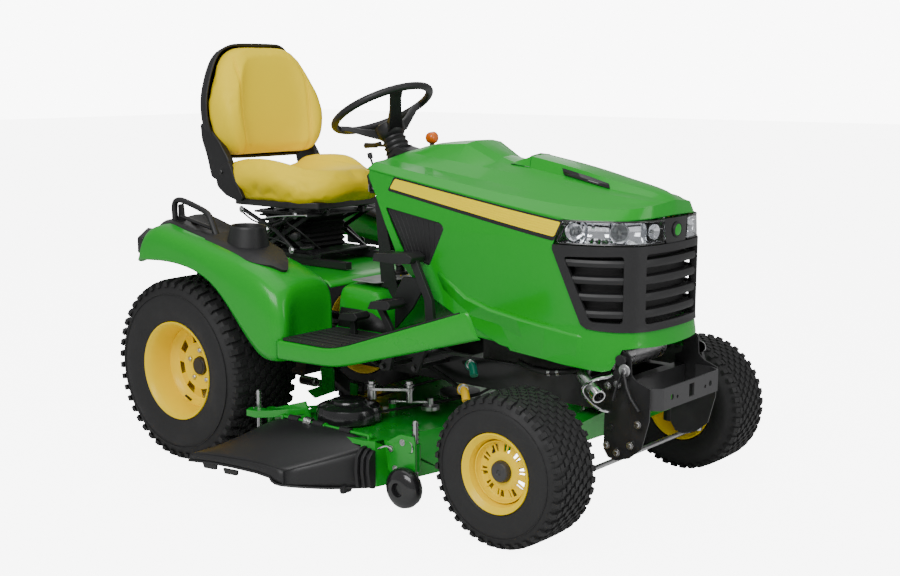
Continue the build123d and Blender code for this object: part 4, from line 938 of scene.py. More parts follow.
floor_sheet = strip_loft([
    [(x, y, z) for y in (-338, -300, 0, 300, 338)]
    for x, z in ((-190, 672), (-120, 664), (200, 662), (430, 662), (476, 655), (496, 636))
])
piece("seat_floor", floor_sheet, PAINT, smooth=60, subsurf=2, solid=4)
rear_wall = strip_loft([
    [(-190, y, 672) for y in (-338, -300, 0, 300, 338)],
    [(-196, y, 640) for y in (-338, -300, 0, 300, 338)],
    [(-192, y, 600) for y in (-338, -300, 0, 300, 338)],
])
piece("fender_rear", rear_wall, PAINT, smooth=60, subsurf=1, solid=4)

# trays with grab rail and cup
for side, name in SIDES:
    def top_at(x):
        for (x0, z0, *_), (x1, z1, *_) in zip(POD, POD[1:]):
            if x0 <= x <= x1:
                return z0 + (z1 - z0) * (x - x0) / (x1 - x0)
        return POD[-1][1]

    # dished tray behind the cup
    tray = []
    for x, rise, dip, out in ((-214, 18, 0, 500), (-196, 34, 2, 512), (-160, 34, 8, 520),
                              (-90, 26, 16, 528), (-10, 18, 14, 532), (50, 14, 6, 534),
                              (96, 12, 2, 534)):
        z = top_at(max(x, -160)) + (0 if x > -180 else -14)
        tray.append([
            (x, side * 344, z - 6), (x, side * 350, z + rise * 0.8), (x, side * 364, z + rise),
            (x, side * 384, z + rise - dip), (x, side * 450, z + rise - 1.5 * dip),
            (x, side * (out - 40), z + rise - 1.2 * dip), (x, side * (out - 12), z + rise * 0.5),
            (x, side * out, z - 6),
        ])
    piece(f"tray_{name}", strip_loft(tray), PLASTIC, smooth=60, subsurf=2, solid=5,
          replaces="fender_trays" if side < 0 else None)
    rail = tube(on_side(side, [(-142, 470, 826), (-148, 468, 886), (-130, 466, 902),
                               (-96, 464, 899), (10, 466, 872), (42, 470, 858),
                               (66, 476, 826), (92, 482, 790)]), 12, 14, 3, 0.85)
    piece(f"grab_rail_{name}", rail, PLASTIC)
    web = prism(rounded([(-136, 822), (-136, 884), (-112, 888), (-104, 822)], 6), "y",
                side * 452, side * 462)
    piece(f"grab_post_{name}", web, PLASTIC, bevel=2)
    lowest = [(x, side * 474, top_at(x) + 20) for x in (-100, -60, -20, 20, 60)]
    piece(f"grab_sill_{name}", tube(lowest, 10, 12, 1, 0.6), PLASTIC)
    # black slab where the finger gap beside the grab rail opens: painted shade of the gap, not a cut
    # opening
    gap_shade = prism(rounded([(-78, 436), (0, 436), (0, 456), (-78, 456)] if side > 0 else
                         [(-78, -456), (0, -456), (0, -436), (-78, -436)], 8), "z", 822, 824)
    piece(f"tray_gap_shade_{name}", gap_shade, GLOSS_BLACK)
    # black panel round the cup, pointed at its front
    outline = rounded([(86, 350), (226, 362), (310, 384), (388, 428), (432, 474), (428, 494),
                       (368, 534), (330, 548), (280, 548), (86, 540)], 20, 6)

    def panel_z(x, y):
        return top_at(x) + 12 - 22 * max(0, (y - 480) / 70) ** 2

    panel = top_skin(outline, side, panel_z, (22, 30))
    piece(f"cup_panel_{name}", panel, PLASTIC, smooth=50, solid=18, bevel=5, segments=3)
    cup = lathe([(-100, 90), (-70, 84), (-34, 77), (20, 67), (44, 62), (50, 61), (53, 58.5),
                 (51, 54), (40, 51), (0, 48)], (206, side * 442, 780), (0.04, 0, 1), steps=64)
    piece(f"cup_{name}", cup, PLASTIC, smooth=50)
    well = lathe([(-2, 47), (-1.5, 20)], (206, side * 442, 778), (0, 0, 1), steps=48)
    piece(f"cup_floor_{name}", well, RUBBER)
    housing = prism(rounded([(side * 520, 722), (side * 592, 716), (side * 592, 772),
                             (side * 540, 806)], 8), "x", -206, -176)
    piece(f"tail_housing_{name}", housing, GLOSS_BLACK, bevel=3)
    mesh = prism(rounded([(side * 528, 730), (side * 586, 724), (side * 586, 766),
                          (side * 542, 794)], 8), "x", -210, -204)
    piece(f"tail_lamp_{name}", mesh, RED, bevel=2)


# ---------------------------------------------------------------- foot platform
def tread_z(x):
    """Height of the tread: level, then rising to the front."""
    return 494 if x < 745 else 494 + (x - 745) * 0.347


def tread_edge(x):
    """Outer edge of the tread."""
    return 598 if x < 763 else 598 - (x - 763) * 0.122


def tread_skirt(x):
    """Lower edge of the tread's outer face."""
    return 432 + max(0, x - 498) * 0.03 if x < 763 else 440 + (x - 763) * 0.284


for side, name in SIDES:
    shelf = []
    for kind, y_in, x_end in (("rise", 302, 985), ("wall", 307, 990), ("top", 362, 1040),
                              ("top", 430, 1104), ("top", 500, 1176), ("top", 14, 1226),
                              ("top", 3, 1240), ("drop", 0, 1246), ("face", 0, 1262),
                              ("foot", 0, 1277), ("tuck", 14, 1277)):
        line = []
        for k in range(14):
            x = 498 + (x_end - 498) * (k / 13)
            far = tread_edge(x)
            y = y_in if y_in > 100 else far - y_in
            top = tread_z(x)
            z = {"rise": top + (34 if x < 700 else 10), "wall": top + 2, "top": top,
                 "drop": top - 7, "face": 0.5 * (top + tread_skirt(x)), "foot": tread_skirt(x),
                 "tuck": tread_skirt(x) - 2}[kind]
            line.append((x, side * y, z))
        shelf.append(line)
    piece(f"platform_{name}", strip_loft(shelf), PAINT, smooth=40, subsurf=2, solid=4,
          replaces="foot_platform" if side < 0 else None)
    # ribbed rubber mats
    outline = rounded([(508, 322), (735, 322), (758, 402), (806, 414), (1130, 452), (1164, 470),
                       (1160, 508), (1120, 524), (760, 578), (700, 586), (508, 586)], 18, 5)
    mat = top_skin(outline, side, lambda x, _: tread_z(x) + 7, (20, 16))
    piece(f"mat_{name}", mat, RUBBER, smooth=50, solid=5, bevel=1.5,
          replaces="foot_mats" if side < 0 else None)
    ribs = []
    for k in range(5):
        y = 400 + 36 * k
        path = [(x, side * y, tread_z(x) + 8) for x in range(530, 741, 30)]
        ribs.append(tube(path, 3.4, 8, 0))
    for k in range(3):
        y0 = 430 + 36 * k
        path = [(x, side * (y0 - (x - 770) * 0.06), tread_z(x) + 8)
                for x in range(772, 1040 - 60 * k, 30)]
        ribs.append(tube(path, 3.2, 8, 0))
    piece(f"mat_ribs_{name}", joined(ribs), RUBBER)
    kick = strip_loft([
        [(506, side * 318, 502), (610, side * 316, 502), (736, side * 316, 502)],
        [(506, side * 308, 545), (610, side * 307, 545), (700, side * 307, 540)],
        [(506, side * 304, 566), (600, side * 303, 566), (650, side * 303, 560)],
    ])
    piece(f"kick_pad_{name}", kick, RUBBER, smooth=50, solid=3)

# tunnel between the treads, with its dial plate
tunnel_rows = []
for x, z in ((500, 646), (512, 650), (640, 642), (668, 632), (706, 560), (712, 500)):
    tunnel_rows.append([(x, y, z - d) for y, d in (
        (-304, 150 if x < 700 else 5), (-303, 60 if x < 680 else 20), (-290, 22), (-262, 4),
        (0, 0), (262, 4), (290, 22), (303, 60 if x < 680 else 20), (304, 150 if x < 700 else 5))])
piece("tunnel", strip_loft(tunnel_rows), PAINT, smooth=60, subsurf=2, solid=3)
plate = prism(rounded([(516, -262), (628, -262), (640, -230), (640, 30), (604, 60), (516, 60)],
                      12), "z", 652, 655)
piece("dial_plate", plate, GREY_GRAPHIC, bevel=0.8)
dial = lathe([(0, 26), (2, 28), (8, 28), (11, 25), (12, 16), (26, 15), (30, 18), (34, 17),
              (36, 12), (36.5, 2)], (560, -59, 655), (0, 0, 1), 40)
piece("height_dial.knob", dial, PLASTIC, "height_dial", replaces="height_dial")
marks = [prism(rounded([(560 + 36 * cos(a) - 3, -59 + 36 * sin(a) - 3),
                        (560 + 36 * cos(a) + 3, -59 + 36 * sin(a) - 3),
                        (560 + 36 * cos(a) + 3, -59 + 36 * sin(a) + 3),
                        (560 + 36 * cos(a) - 3, -59 + 36 * sin(a) + 3)], 1), "z", 655, 656)
         for a in (pi * (0.25 + 0.25 * k) for k in range(9))]
piece("dial_marks", joined(marks), YELLOW_TRIM)
# round plugs along the outer edge of each mat
for side, name in SIDES:
    plugs = [lathe([(0, 6), (2, 6), (3, 4.5), (3, 1)], (x, side * 576, 500), (0, 0, 1), 20)
             for x in (540, 590, 640, 690)]
    piece(f"mat_plugs_{name}", joined(plugs), GLOSS_BLACK)

# ---------------------------------------------------------------- seat
def stuffed(mesh, cap, voxel=6.0, pressure=4.0, frames=20):
    """Blow a closed mesh up with the cloth solver, no point moving further than cap (mm)."""
    scene = bpy.context.scene
    blank = bpy.data.objects.new("blank", mesh)
    scene.collection.objects.link(blank)
    remesh = blank.modifiers.new("remesh", "REMESH")
    remesh.mode = "VOXEL"
    remesh.voxel_size = voxel / 1000
    remesh.use_smooth_shade = True
    graph = bpy.context.evaluated_depsgraph_get()
    fine = bpy.data.meshes.new_from_object(blank.evaluated_get(graph))
    bpy.data.objects.remove(blank)
    pillow = bpy.data.objects.new("pillow", fine)
    scene.collection.objects.link(pillow)
    start = [v.co.copy() for v in fine.vertices]
    cloth = pillow.modifiers.new("cloth", "CLOTH")
    cloth.settings.use_pressure = True
    cloth.settings.uniform_pressure_force = pressure
    cloth.settings.effector_weights.gravity = 0
    cloth.settings.quality = 4
    for number in range(1, frames + 1):
        scene.frame_set(number)
    graph = bpy.context.evaluated_depsgraph_get()
    moved = bpy.data.meshes.new_from_object(pillow.evaluated_get(graph))
    for vertex, before in zip(moved.vertices, start):
        step = vertex.co - before
        if step.length > cap / 1000:
            vertex.co = before + step * (cap / 1000 / step.length)
    bpy.data.objects.remove(pillow)
    scene.frame_set(1)
    work = bmesh.new()
    work.from_mesh(moved)
    for _ in range(4):
        bmesh.ops.smooth_vert(work, verts=work.verts, factor=0.5, use_axis_x=True,
                              use_axis_y=True, use_axis_z=True)
    work.to_mesh(moved)
    work.free()
    return moved


def refined(mesh, levels):
    """Subdivide a mesh smoothly and return the finer mesh."""
    coarse = bpy.data.objects.new("coarse", mesh)
    bpy.context.scene.collection.objects.link(coarse)
    rounder = coarse.modifiers.new("round", "SUBSURF")
    rounder.levels = levels
    graph = bpy.context.evaluated_depsgraph_get()
    fine = bpy.data.meshes.new_from_object(coarse.evaluated_get(graph))
    bpy.data.objects.remove(coarse)
    return fine


def both_halves(half):
    """Mirror a half ring given as (|Y|, other) from the bottom middle to the top middle."""
    return [(-y, v) for y, v in half] + [(y, v) for y, v in reversed(half[1:-1])]


# (X, half width, lower edge, bolster top, middle)
CUSHION = [
    (-182, 196, 890, 935, 898), (-176, 216, 868, 960, 914), (-160, 228, 854, 972, 926),
    (-110, 232, 848, 978, 926), (-50, 234, 846, 982, 920), (20, 234, 845, 984, 917),
    (80, 233, 845, 979, 918), (140, 228, 846, 965, 923), (200, 212, 849, 949, 931),
    (252, 188, 854, 940, 937), (288, 158, 862, 934, 935), (312, 122, 872, 925, 927),
    (326, 84, 885, 910, 912),
]
rings = []
for x, w, low, edge, mid in CUSHION:
    low, edge, mid = low + 36, edge + 52, mid + 50
    half = [(0, low + 4), (0.6 * w, low + 4), (w - 16, low + 2), (w - 3, low + 14), (w, low + 42),
            (w, edge - 34), (w - 9, edge - 10), (w - 30, edge), (w - 62, edge - 9),
            (w - 0.42 * w, 0.35 * edge + 0.65 * mid), (0.3 * w, mid + 2), (0, mid)]
    rings.append([(x, y, z) for y, z in both_halves(half)])
cushion_mesh = stuffed(refined(ring_loft(rings), 2), 14, voxel=6)
for vertex in cushion_mesh.vertices:
    x, y, z = vertex.co * 1000 + MIDDLE
    if z > 955 and -150 < x < 250:
        d = abs(abs(y) - (150 - 0.1 * max(x - 80, 0)))
        if d < 16:
            fade = min(1, (x + 150) / 60, (250 - x) / 60)
            vertex.co.z -= 0.004 * fade * (1 - d / 16) ** 2
cushion = piece("seat_cushion.cover", cushion_mesh, VINYL, "seat", smooth=70, subsurf=1,
                replaces="seat_cushion")

def face_x(z):
    """X of the backrest's front face on its centreline."""
    return -118 - (z - 1016) * 0.1


# (Z, half width, bolster forward, depth)
BACK = [
    (1032, 150, 10, 42), (1038, 180, 22, 66), (1052, 200, 34, 80), (1080, 218, 46, 88),
    (1120, 232, 54, 92), (1170, 242, 56, 94), (1218, 243, 54, 94), (1264, 236, 48, 92),
    (1308, 222, 40, 88), (1354, 204, 29, 84), (1394, 184, 20, 78), (1422, 160, 12, 70),
    (1438, 132, 6, 54), (1446, 94, 2, 34),
]
rings = []
for z, w, forward, depth in BACK:
    c = face_x(z) - (94 - depth) * 0.4
    half = [(0, c - depth), (0.7 * w, c - depth), (w - 12, c - depth + 3),
            (w, c - depth + 18), (w + 1, c - 24 + 0.4 * forward), (w - 7, c - 6 + 0.85 * forward),
            (w - 26, c + forward), (w - 50, c + 0.72 * forward), (w - 78, c + 0.28 * forward),
            (w - 110 if w > 150 else 0.35 * w, c + 2), (0.15 * w, c), (0, c)]
    rings.append([(x, y, z) for y, x in both_halves(half)])
back_mesh = stuffed(refined(ring_loft(rings), 2), 12, voxel=6)


def seam_y(z):
    """Distance of the backrest's sewn channels from its centreline."""
    return 150 + 22 * sin(pi * max(0, min(1, (z - 1010) / 430)))


for vertex in back_mesh.vertices:
    x, y, z = vertex.co * 1000 + MIDDLE
    if x > face_x(z) - 30:
        d = abs(abs(y) - seam_y(z))
        if d < 15:
            vertex.co.x -= 0.007 * (1 - d / 15) ** 2
back = piece("seat_back.cover", back_mesh, VINYL, "seat", smooth=70, subsurf=1,
             replaces="seat_back_cushion")

# sewn cords in the channels
hit = BVHTree.FromPolygons([v.co for v in back_mesh.vertices],
                           [tuple(p.vertices) for p in back_mesh.polygons])
for side, name in SIDES:
    for shift in (-3.5, 3.5):
        stitched = []
        for k in range(42):
            z = 1030 + k * 9.6
            y = side * (seam_y(z) + shift)
            found = hit.ray_cast(at(300, y, z), Vector((-1, 0, 0)))[0]
            if found is not None:
                p = found * 1000 + MIDDLE
                stitched.append((p.x + 0.2, p.y, p.z))
        piece(f"back_seam_{name}_{'out' if shift > 0 else 'in'}", tube(stitched, 1.1, 6, 0), VINYL,
              "seat")

# shell behind the backrest
rings = []
for z, w, forward, depth in BACK:
    rear = face_x(z) - 0.45 * (94 - depth) - depth + 14
    grow = 5
    rings.append([(rear - s * 62 * min(1, depth / 86), y, z - s * 3) for s, y in (
        (0, w + grow), (0.5, w + grow - 1), (0.82, w - 6), (1.0, w - 34), (1.08, 0.5 * w),
        (1.1, 0), (1.08, -0.5 * w), (1.0, -w + 34), (0.82, -w + 6), (0.5, -w - grow + 1), (0, -w - grow))])
shell_mesh = strip_loft([rings[0]] + rings)
piece("seat_back.shell", shell_mesh, PLASTIC, "seat", smooth=60, subsurf=2, solid=4,
      replaces="seat_back_shell")
lip = [ring[0] for ring in rings] + [ring[-1] for ring in reversed(rings)]
piece("seat_back.lip", tube(lip + [lip[0]], 4.5, 10, 2), PLASTIC, "seat")

# hinge arms and brackets between backrest and cushion
for side, name in SIDES:
    arm = prism(rounded([(-268, 1160), (-226, 1150), (-168, 1100), (-122, 1040), (-112, 1022),
                         (-128, 985), (-176, 950), (-214, 962), (-236, 1040), (-262, 1100)], 14),
                "y", side * 212, side * 238)
    piece(f"back_arm_{name}", arm, PLASTIC, "seat", bevel=5, segments=3)
    bracket = prism(rounded([(-190, 990), (-150, 1010), (-112, 1026), (-78, 960), (-36, 892),
                             (-60, 880), (-130, 900), (-176, 930)], 12), "y",
                    side * 226, side * 243)
    piece(f"back_bracket_{name}", bracket, PLASTIC, "seat", bevel=3)
    piece(f"back_bolt_{name}", bolt((-150, side * 242, 985), (0, side, 0), 9, 7), BLACK_STEEL,
          "seat")

# pan under the cushion and the folded bellows round the springs
pan_outline = rounded([(-128, -206), (150, -204), (262, -156), (262, 156), (150, 204),
                       (-128, 206)], 18)
piece("seat_pan.plate", prism(pan_outline, "z", 866, 890), BLACK_STEEL, "seat", bevel=4,
      segments=3, replaces="seat_pan")
hinges = [prism(rounded([(222, 870), (222, 856), (235, 846), (248, 856), (248, 870)], 3), "y",
                side * 101, side * 112) for side in (-1, 1)]
piece("seat_pan.hinges", joined(hinges), BLACK_STEEL, "seat", bevel=1)
bellows = []
for k in range(15):
    out = 8 if k % 2 else 0
    z = 710 + k * 9.0
    bellows.append([(x, y, z) for x, y in rounded(
        [(-70 - out, -92 - out), (150 + out, -92 - out), (150 + out, 92 + out),
         (-70 - out, 92 + out)], 22)])
piece("seat_bellows", ring_loft(bellows), RUBBER, "seat_carriage", smooth=50)

# suspension: coil springs, damper, cables and the silver rod
for side, name in SIDES:
    for x in (-70, 10):
        piece(f"seat_coil_{name}_{x + 100}",
              spring((x, side * 96, 706), (x, side * 96, 852), 25, 4.2, 8), BLACK_STEEL,
              "seat_carriage")
    piece(f"seat_link_{name}",
          tube(on_side(side, [(150, 176, 716), (60, 176, 780), (-110, 176, 846)]), 8, 10, 0),
          BLACK_STEEL, "seat_carriage")
    piece(f"seat_link_b_{name}",
          tube(on_side(side, [(-110, 170, 716), (10, 170, 778), (170, 170, 842)]), 8, 10, 0),
          BLACK_STEEL, "seat_carriage")
    pins = [bolt((x, side * 184, z), (0, side, 0), 9, 6) for x, z in
            ((150, 716), (-110, 716), (22, 781), (-110, 846), (170, 842))]
    piece(f"seat_pins_{name}", joined(pins), STEEL, "seat_carriage")
piece("seat_rod", tube([(36, -198, 826), (120, -198, 838), (236, -192, 846)], 4, 10, 1), CHROME,
      "seat_carriage")
piece("seat_damper", tube([(-30, -150, 724), (60, -150, 800)], 15, 16, 0), GLOSS_BLACK,
      "seat_carriage")
piece("seat_damper_rod", tube([(60, -150, 800), (96, -150, 832)], 6, 12, 0), CHROME,
      "seat_carriage")
piece("seat_knob", lathe([(0, 12), (6, 17), (26, 16), (32, 11), (33, 2)], (190, -196, 770),
                         (0.5, -0.85, 0)), PLASTIC, "seat_carriage", bevel=1)
piece("seat_lever", tube([(190, -150, 728), (214, -206, 732), (262, -222, 734), (300, -224, 742)],
                         6, 10, 2), BLACK_STEEL, "seat_carriage")
cables = [
    [(-140, -60, 712), (-60, -188, 740), (60, -196, 760), (160, -170, 716)],
    [(20, -40, 850), (110, -186, 820), (200, -192, 790), (230, -120, 720)],
    [(-120, -180, 840), (-20, -196, 800), (90, -200, 812), (150, -188, 850)],
]
for k, path in enumerate(cables):
    piece(f"seat_cable_{k}", tube(path, 3.4, 8, 4), RUBBER, "seat_carriage")

# ---------------------------------------------------------------- steering wheel and column
TILT = radians(27.4)
WHEEL_UP = Vector((-sin(TILT), 0, cos(TILT)))
WHEEL_BACK = Vector((-cos(TILT), 0, -sin(TILT)))
WHEEL_AT = Vector((428, 0, 1219))


def on_wheel(back, across, up):
    """A point of the steering wheel: towards the driver, to the left, along the column."""
    return WHEEL_AT + WHEEL_BACK * back + Vector((0, across, 0)) + WHEEL_UP * up


rim, steps, sides = [], 180, 16
for k in range(steps):
    a = 2 * pi * k / steps
    bumps = 1.1 * max(0, cos(a * 45)) if cos(a * 3 + 0.4) > -0.55 else 0
    for j in range(sides):
        b = 2 * pi * j / sides
        r = 176 + (14 - 1.6 * bumps * max(0.0, -cos(b))) * cos(b)
        rim.append(on_wheel(r * cos(a), r * sin(a), 13 * sin(b)))
piece("steering_wheel.rim", mesh_of(rim, grid_faces(steps, sides, loop=True)), PLASTIC,
      "steering_wheel", smooth=60, replaces="steering_wheel")
for k, a in enumerate((radians(338), radians(96), radians(208))):
    rows = []
    for r, half, low, high in ((24, 34, -104, -66), (52, 26, -96, -60), (96, 22, -62, -36),
                               (138, 22, -28, -6), (166, 25, -12, 8), (176, 28, -9, 9)):
        c, s = cos(a), sin(a)
        corners = [(-half, low), (-half + 5, high - 3), (-half + 9, high), (0, high + 2),
                   (half - 9, high), (half - 5, high - 3), (half, low), (0, low + 4)]
        rows.append([on_wheel(r * c - w * s, r * s + w * c, up) for w, up in corners])
    piece(f"steering_spoke_{k}", ring_loft(rows), PLASTIC, "steering_wheel", smooth=50, bevel=1.5)
hub = lathe([(-116, 30), (-110, 40), (-96, 50), (-72, 54), (-64, 52), (-60, 44), (-58, 30),
             (-58, 4)],
            WHEEL_AT, WHEEL_UP, 64)
piece("steering_hub", hub, PLASTIC, "steering_wheel", bevel=1)
horn = lathe([(-60, 40), (-56, 38), (-55, 30), (-54.5, 4)], WHEEL_AT, WHEEL_UP, 64)
piece("steering_badge", horn, GLOSS_BLACK, "steering_wheel", bevel=0.6)

# rubber boot round the column: folds along the column's axis
boot_profile = []
for k in range(17):
    boot_profile.append((-265 + 9.5 * k, (58 - 1.0 * k) if k % 2 else (50 - 0.9 * k)))
boot = lathe([(-265, 40)] + boot_profile + [(-108, 30)], WHEEL_AT, WHEEL_UP, 48)
piece("column_boot", boot, RUBBER, "column", smooth=50)
sleeve = lathe([(-118, 34), (-114, 38), (-102, 38), (-98, 30)], WHEEL_AT, WHEEL_UP, 40)
piece("column_sleeve", sleeve, PLASTIC, "column", bevel=1)
piece("tilt_grip", tube([(330, 96, 1092), (300, 102, 1083), (246, 109, 1080)], (7, 11), 14, 2),
      PLASTIC, "tilt_lever")

# dash: instrument pod, switches, the amber lamp and the rear reflectors
pod = prism(rounded([(478, 1052), (520, 1096), (604, 1078), (622, 1040), (600, 1026),
                     (500, 1030)], 14), "y", -44, 44)
piece("dash_pod", pod, PLASTIC, bevel=8, segments=3)
for k in range(3):
    piece(f"dash_switch_{k}", prism(rounded([(516, 1006), (536, 1020), (532, 1026),
                                             (512, 1012)], 2), "y", 92 + 22 * k, 110 + 22 * k),
          GLOSS_BLACK, bevel=1)
lens = lathe([(-18, 12), (-16, 17), (-10, 20), (8, 21), (14, 19), (18, 12), (18.5, 2)],
             (554, 120, 1118), (1, 0, 0.1), 40)
piece("dash_lamp", lens, AMBER, smooth=60, replaces="body_lamps")
piece("dash_lamp_stalk", tube([(554, 120, 1040), (554, 120, 1104)], 9, 16, 0), PLASTIC)
for side, name in SIDES:
    reflector = lathe([(0, 15), (5, 15), (8, 13), (9, 2)], (-196, side * 560, 720), (-1, 0, 0), 32)
    piece(f"reflector_{name}", reflector, RED, smooth=60)

# ---------------------------------------------------------------- mower deck details
# the belt covers' outline as (Z, radius), dented at three places on the rim
COVER = [(232, 108), (236, 109.5), (268, 104), (277, 101), (281, 94), (286, 80), (288, 62),
         (292, 58), (297, 56), (299, 50), (299.5, 30), (299.5, 3)]
COVER_STEPS = 96
DENT_HALF, DENT_DEEP, DENT_TOP = 0.09, 9, 284
for side, name in SIDES:
    marks = [side * 1.9 + turn for turn in (0, 2.1, -2.1)]
    verts = []
    for z, r in COVER:
        for k in range(COVER_STEPS):
            a = 2 * pi * k / COVER_STEPS
            gap = min(abs((a - mark + pi) % (2 * pi) - pi) for mark in marks)
            dented = r
            if z < DENT_TOP and gap < DENT_HALF:
                dented -= DENT_DEEP * (1 - (gap / DENT_HALF) ** 2)
            verts.append((672 + dented * cos(a), side * 442 + dented * sin(a), z))
    faces = grid_faces(len(COVER), COVER_STEPS, ends=True)
    del faces[-2]  # open below
    piece(f"spindle_cover_{name}", mesh_of(verts, faces), GLOSS_BLACK, "deck", smooth=40,
          solid=3, bevel=0.8, replaces="spindle_covers" if side < 0 else None)


def pedal(node, pivot, arm_y, arm, pad, pad_y):
    """Arm from its hub, in the plane arm_y, and a padded top with three grips."""
    lever = prism(rounded(arm, 6), "y", arm_y - 8, arm_y + 8)
    hub = lathe([(-9, 16), (9, 16)], (pivot[0], arm_y, pivot[1]), (0, 1, 0), 32)
    piece(f"{node}.arm", joined([lever, hub]), PLASTIC, node, bevel=2.5, segments=3,
          replaces=node)
    piece(f"{node}.pad", prism(rounded(pad, 5), "y", *pad_y), PLASTIC, node,
          bevel=7, segments=4)
    (x0, z0), (x1, z1) = pad[1:3]
    slope = (z1 - z0) / (x1 - x0)
    grips = [tube([(x0 + run, pad_y[0] + 12, z0 + slope * run),
                   (x0 + run, pad_y[1] - 12, z0 + slope * run)], 2.5, 8, 0)
             for run in (16, 28, 40)]
    piece(f"{node}.grips", joined(grips), RUBBER, node)


pedal("brake_pedal", (870, 412), -338,
      [(857, 426), (862, 398), (884, 398), (952, 560), (944, 640), (874, 772), (842, 772),
       (912, 640), (918, 565)],
      [(716, 748), (722, 774), (860, 784), (884, 772), (876, 752), (800, 746)], (-372, -304))
pedal("forward_pedal", (775, 412), -380,
      [(764, 424), (770, 398), (800, 400), (822, 470), (812, 540), (772, 600), (748, 596),
       (790, 532), (796, 476)],
      [(736, 600), (750, 626), (822, 634), (836, 618), (822, 604)], (-420, -342))
pedal("reverse_pedal", (605, 412), -380,
      [(594, 424), (600, 398), (632, 400), (652, 470), (648, 550), (626, 550), (630, 478)],
      [(598, 548), (608, 570), (672, 578), (686, 562), (674, 550)], (-414, -348))
boot = prism(rounded([(762, 520), (764, 640), (800, 700), (860, 700), (880, 660), (840, 600)], 12),
             "y", -318, -308)
piece("pedal_boot", boot, PLASTIC, bevel=4, segments=3)

# discharge chute
CHUTE_TOP = [
    # (X, Y, Z) rows from the front wall's crease to the rear corner, inner to outer
    [(884, -570, 196), (862, -600, 190), (820, -650, 176), (760, -716, 156), (700, -768, 136)],
    [(846, -572, 236), (800, -612, 224), (740, -664, 200), (640, -735, 166), (560, -771, 143)],
    [(740, -574, 240), (680, -618, 230), (600, -674, 204), (490, -740, 160), (420, -774, 133)],
    [(600, -572, 240), (540, -612, 228), (470, -666, 198), (380, -730, 150), (330, -776, 124)],
    [(500, -574, 232), (462, -592, 222), (420, -640, 190), (340, -715, 140), (276, -779, 116)],
]
piece("chute_top", strip_loft(CHUTE_TOP), PLASTIC, "chute", smooth=60, subsurf=2, solid=5,
      replaces="discharge_chute")
front_wall = strip_loft([
    CHUTE_TOP[0],
    [(891, -571, 186), (869, -603, 181), (827, -655, 167), (766, -721, 147), (705, -772, 128)],
    [(892, -571, 130), (870, -604, 128), (829, -656, 118), (768, -722, 108), (706, -773, 98)],
    [(892, -571, 76), (870, -604, 76), (829, -656, 80), (768, -722, 86), (706, -773, 92)],
])
piece("chute_front", front_wall, PLASTIC, "chute", smooth=50, subsurf=1, solid=5)
side_strip = strip_loft([
    [(700, -768, 137), (640, -771, 142), (560, -773, 142), (420, -776, 132), (330, -778, 123),
     (272, -781, 114)],
    [(705, -774, 128), (640, -778, 132), (560, -779, 130), (420, -780, 121), (330, -782, 113),
     (272, -784, 105)],
    [(706, -775, 92), (664, -778, 94), (646, -778, 116), (420, -780, 110), (330, -782, 102),
     (272, -784, 94)],
])
piece("chute_side", side_strip, PLASTIC, "chute", smooth=50, subsurf=1, solid=5)
piece("chute_rim", tube([(890, -574, 76), (828, -659, 79), (768, -724, 85), (705, -776, 91),
                         (664, -780, 93), (646, -780, 114), (420, -782, 108), (272, -786, 93)],
                        4, 8, 1), PLASTIC, "chute")
steps = [prism(rounded([(-596, 216 - 4 * k), (-620 + 5 * k, 212 - 4 * k),
                        (-642 + 7 * k, 190 - 4 * k), (-646 + 8 * k, 142),
                        (-640 + 10 * k, 88), (-598, 84)], 8), "x",
               884 + 17 * k, 897 + 17 * k) for k in range(3)]
steps.append(prism([(-596, 206), (-622, 190), (-628, 142), (-622, 94), (-598, 90)], "x", 876, 922))
piece("chute_steps", joined(steps), PLASTIC, "chute", bevel=2.5)
foot = prism(rounded([(818, 84), (846, 88), (842, 60), (826, 58)], 5), "y", -648, -612)
piece("chute_foot", foot, PLASTIC, "chute", bevel=2)
pads = [prism(rounded([(330 + 100 * k, 96), (400 + 100 * k, 100), (396 + 100 * k, 82),
                       (338 + 100 * k, 78)], 5), "y", -779, -771) for k in range(2)]
piece("chute_pads", joined(pads), PLASTIC, "chute", bevel=1)
knuckles = [lathe([(0, 11), (44, 11)], (x, -572, 238), (1, 0, 0), 24) for x in (530, 640, 760)]
piece("chute_knuckles", joined(knuckles), PLASTIC, "chute", bevel=1.5)
piece("chute_spring", spring((600, -572, 238), (634, -572, 238), 14, 2, 6), STEEL, "chute")

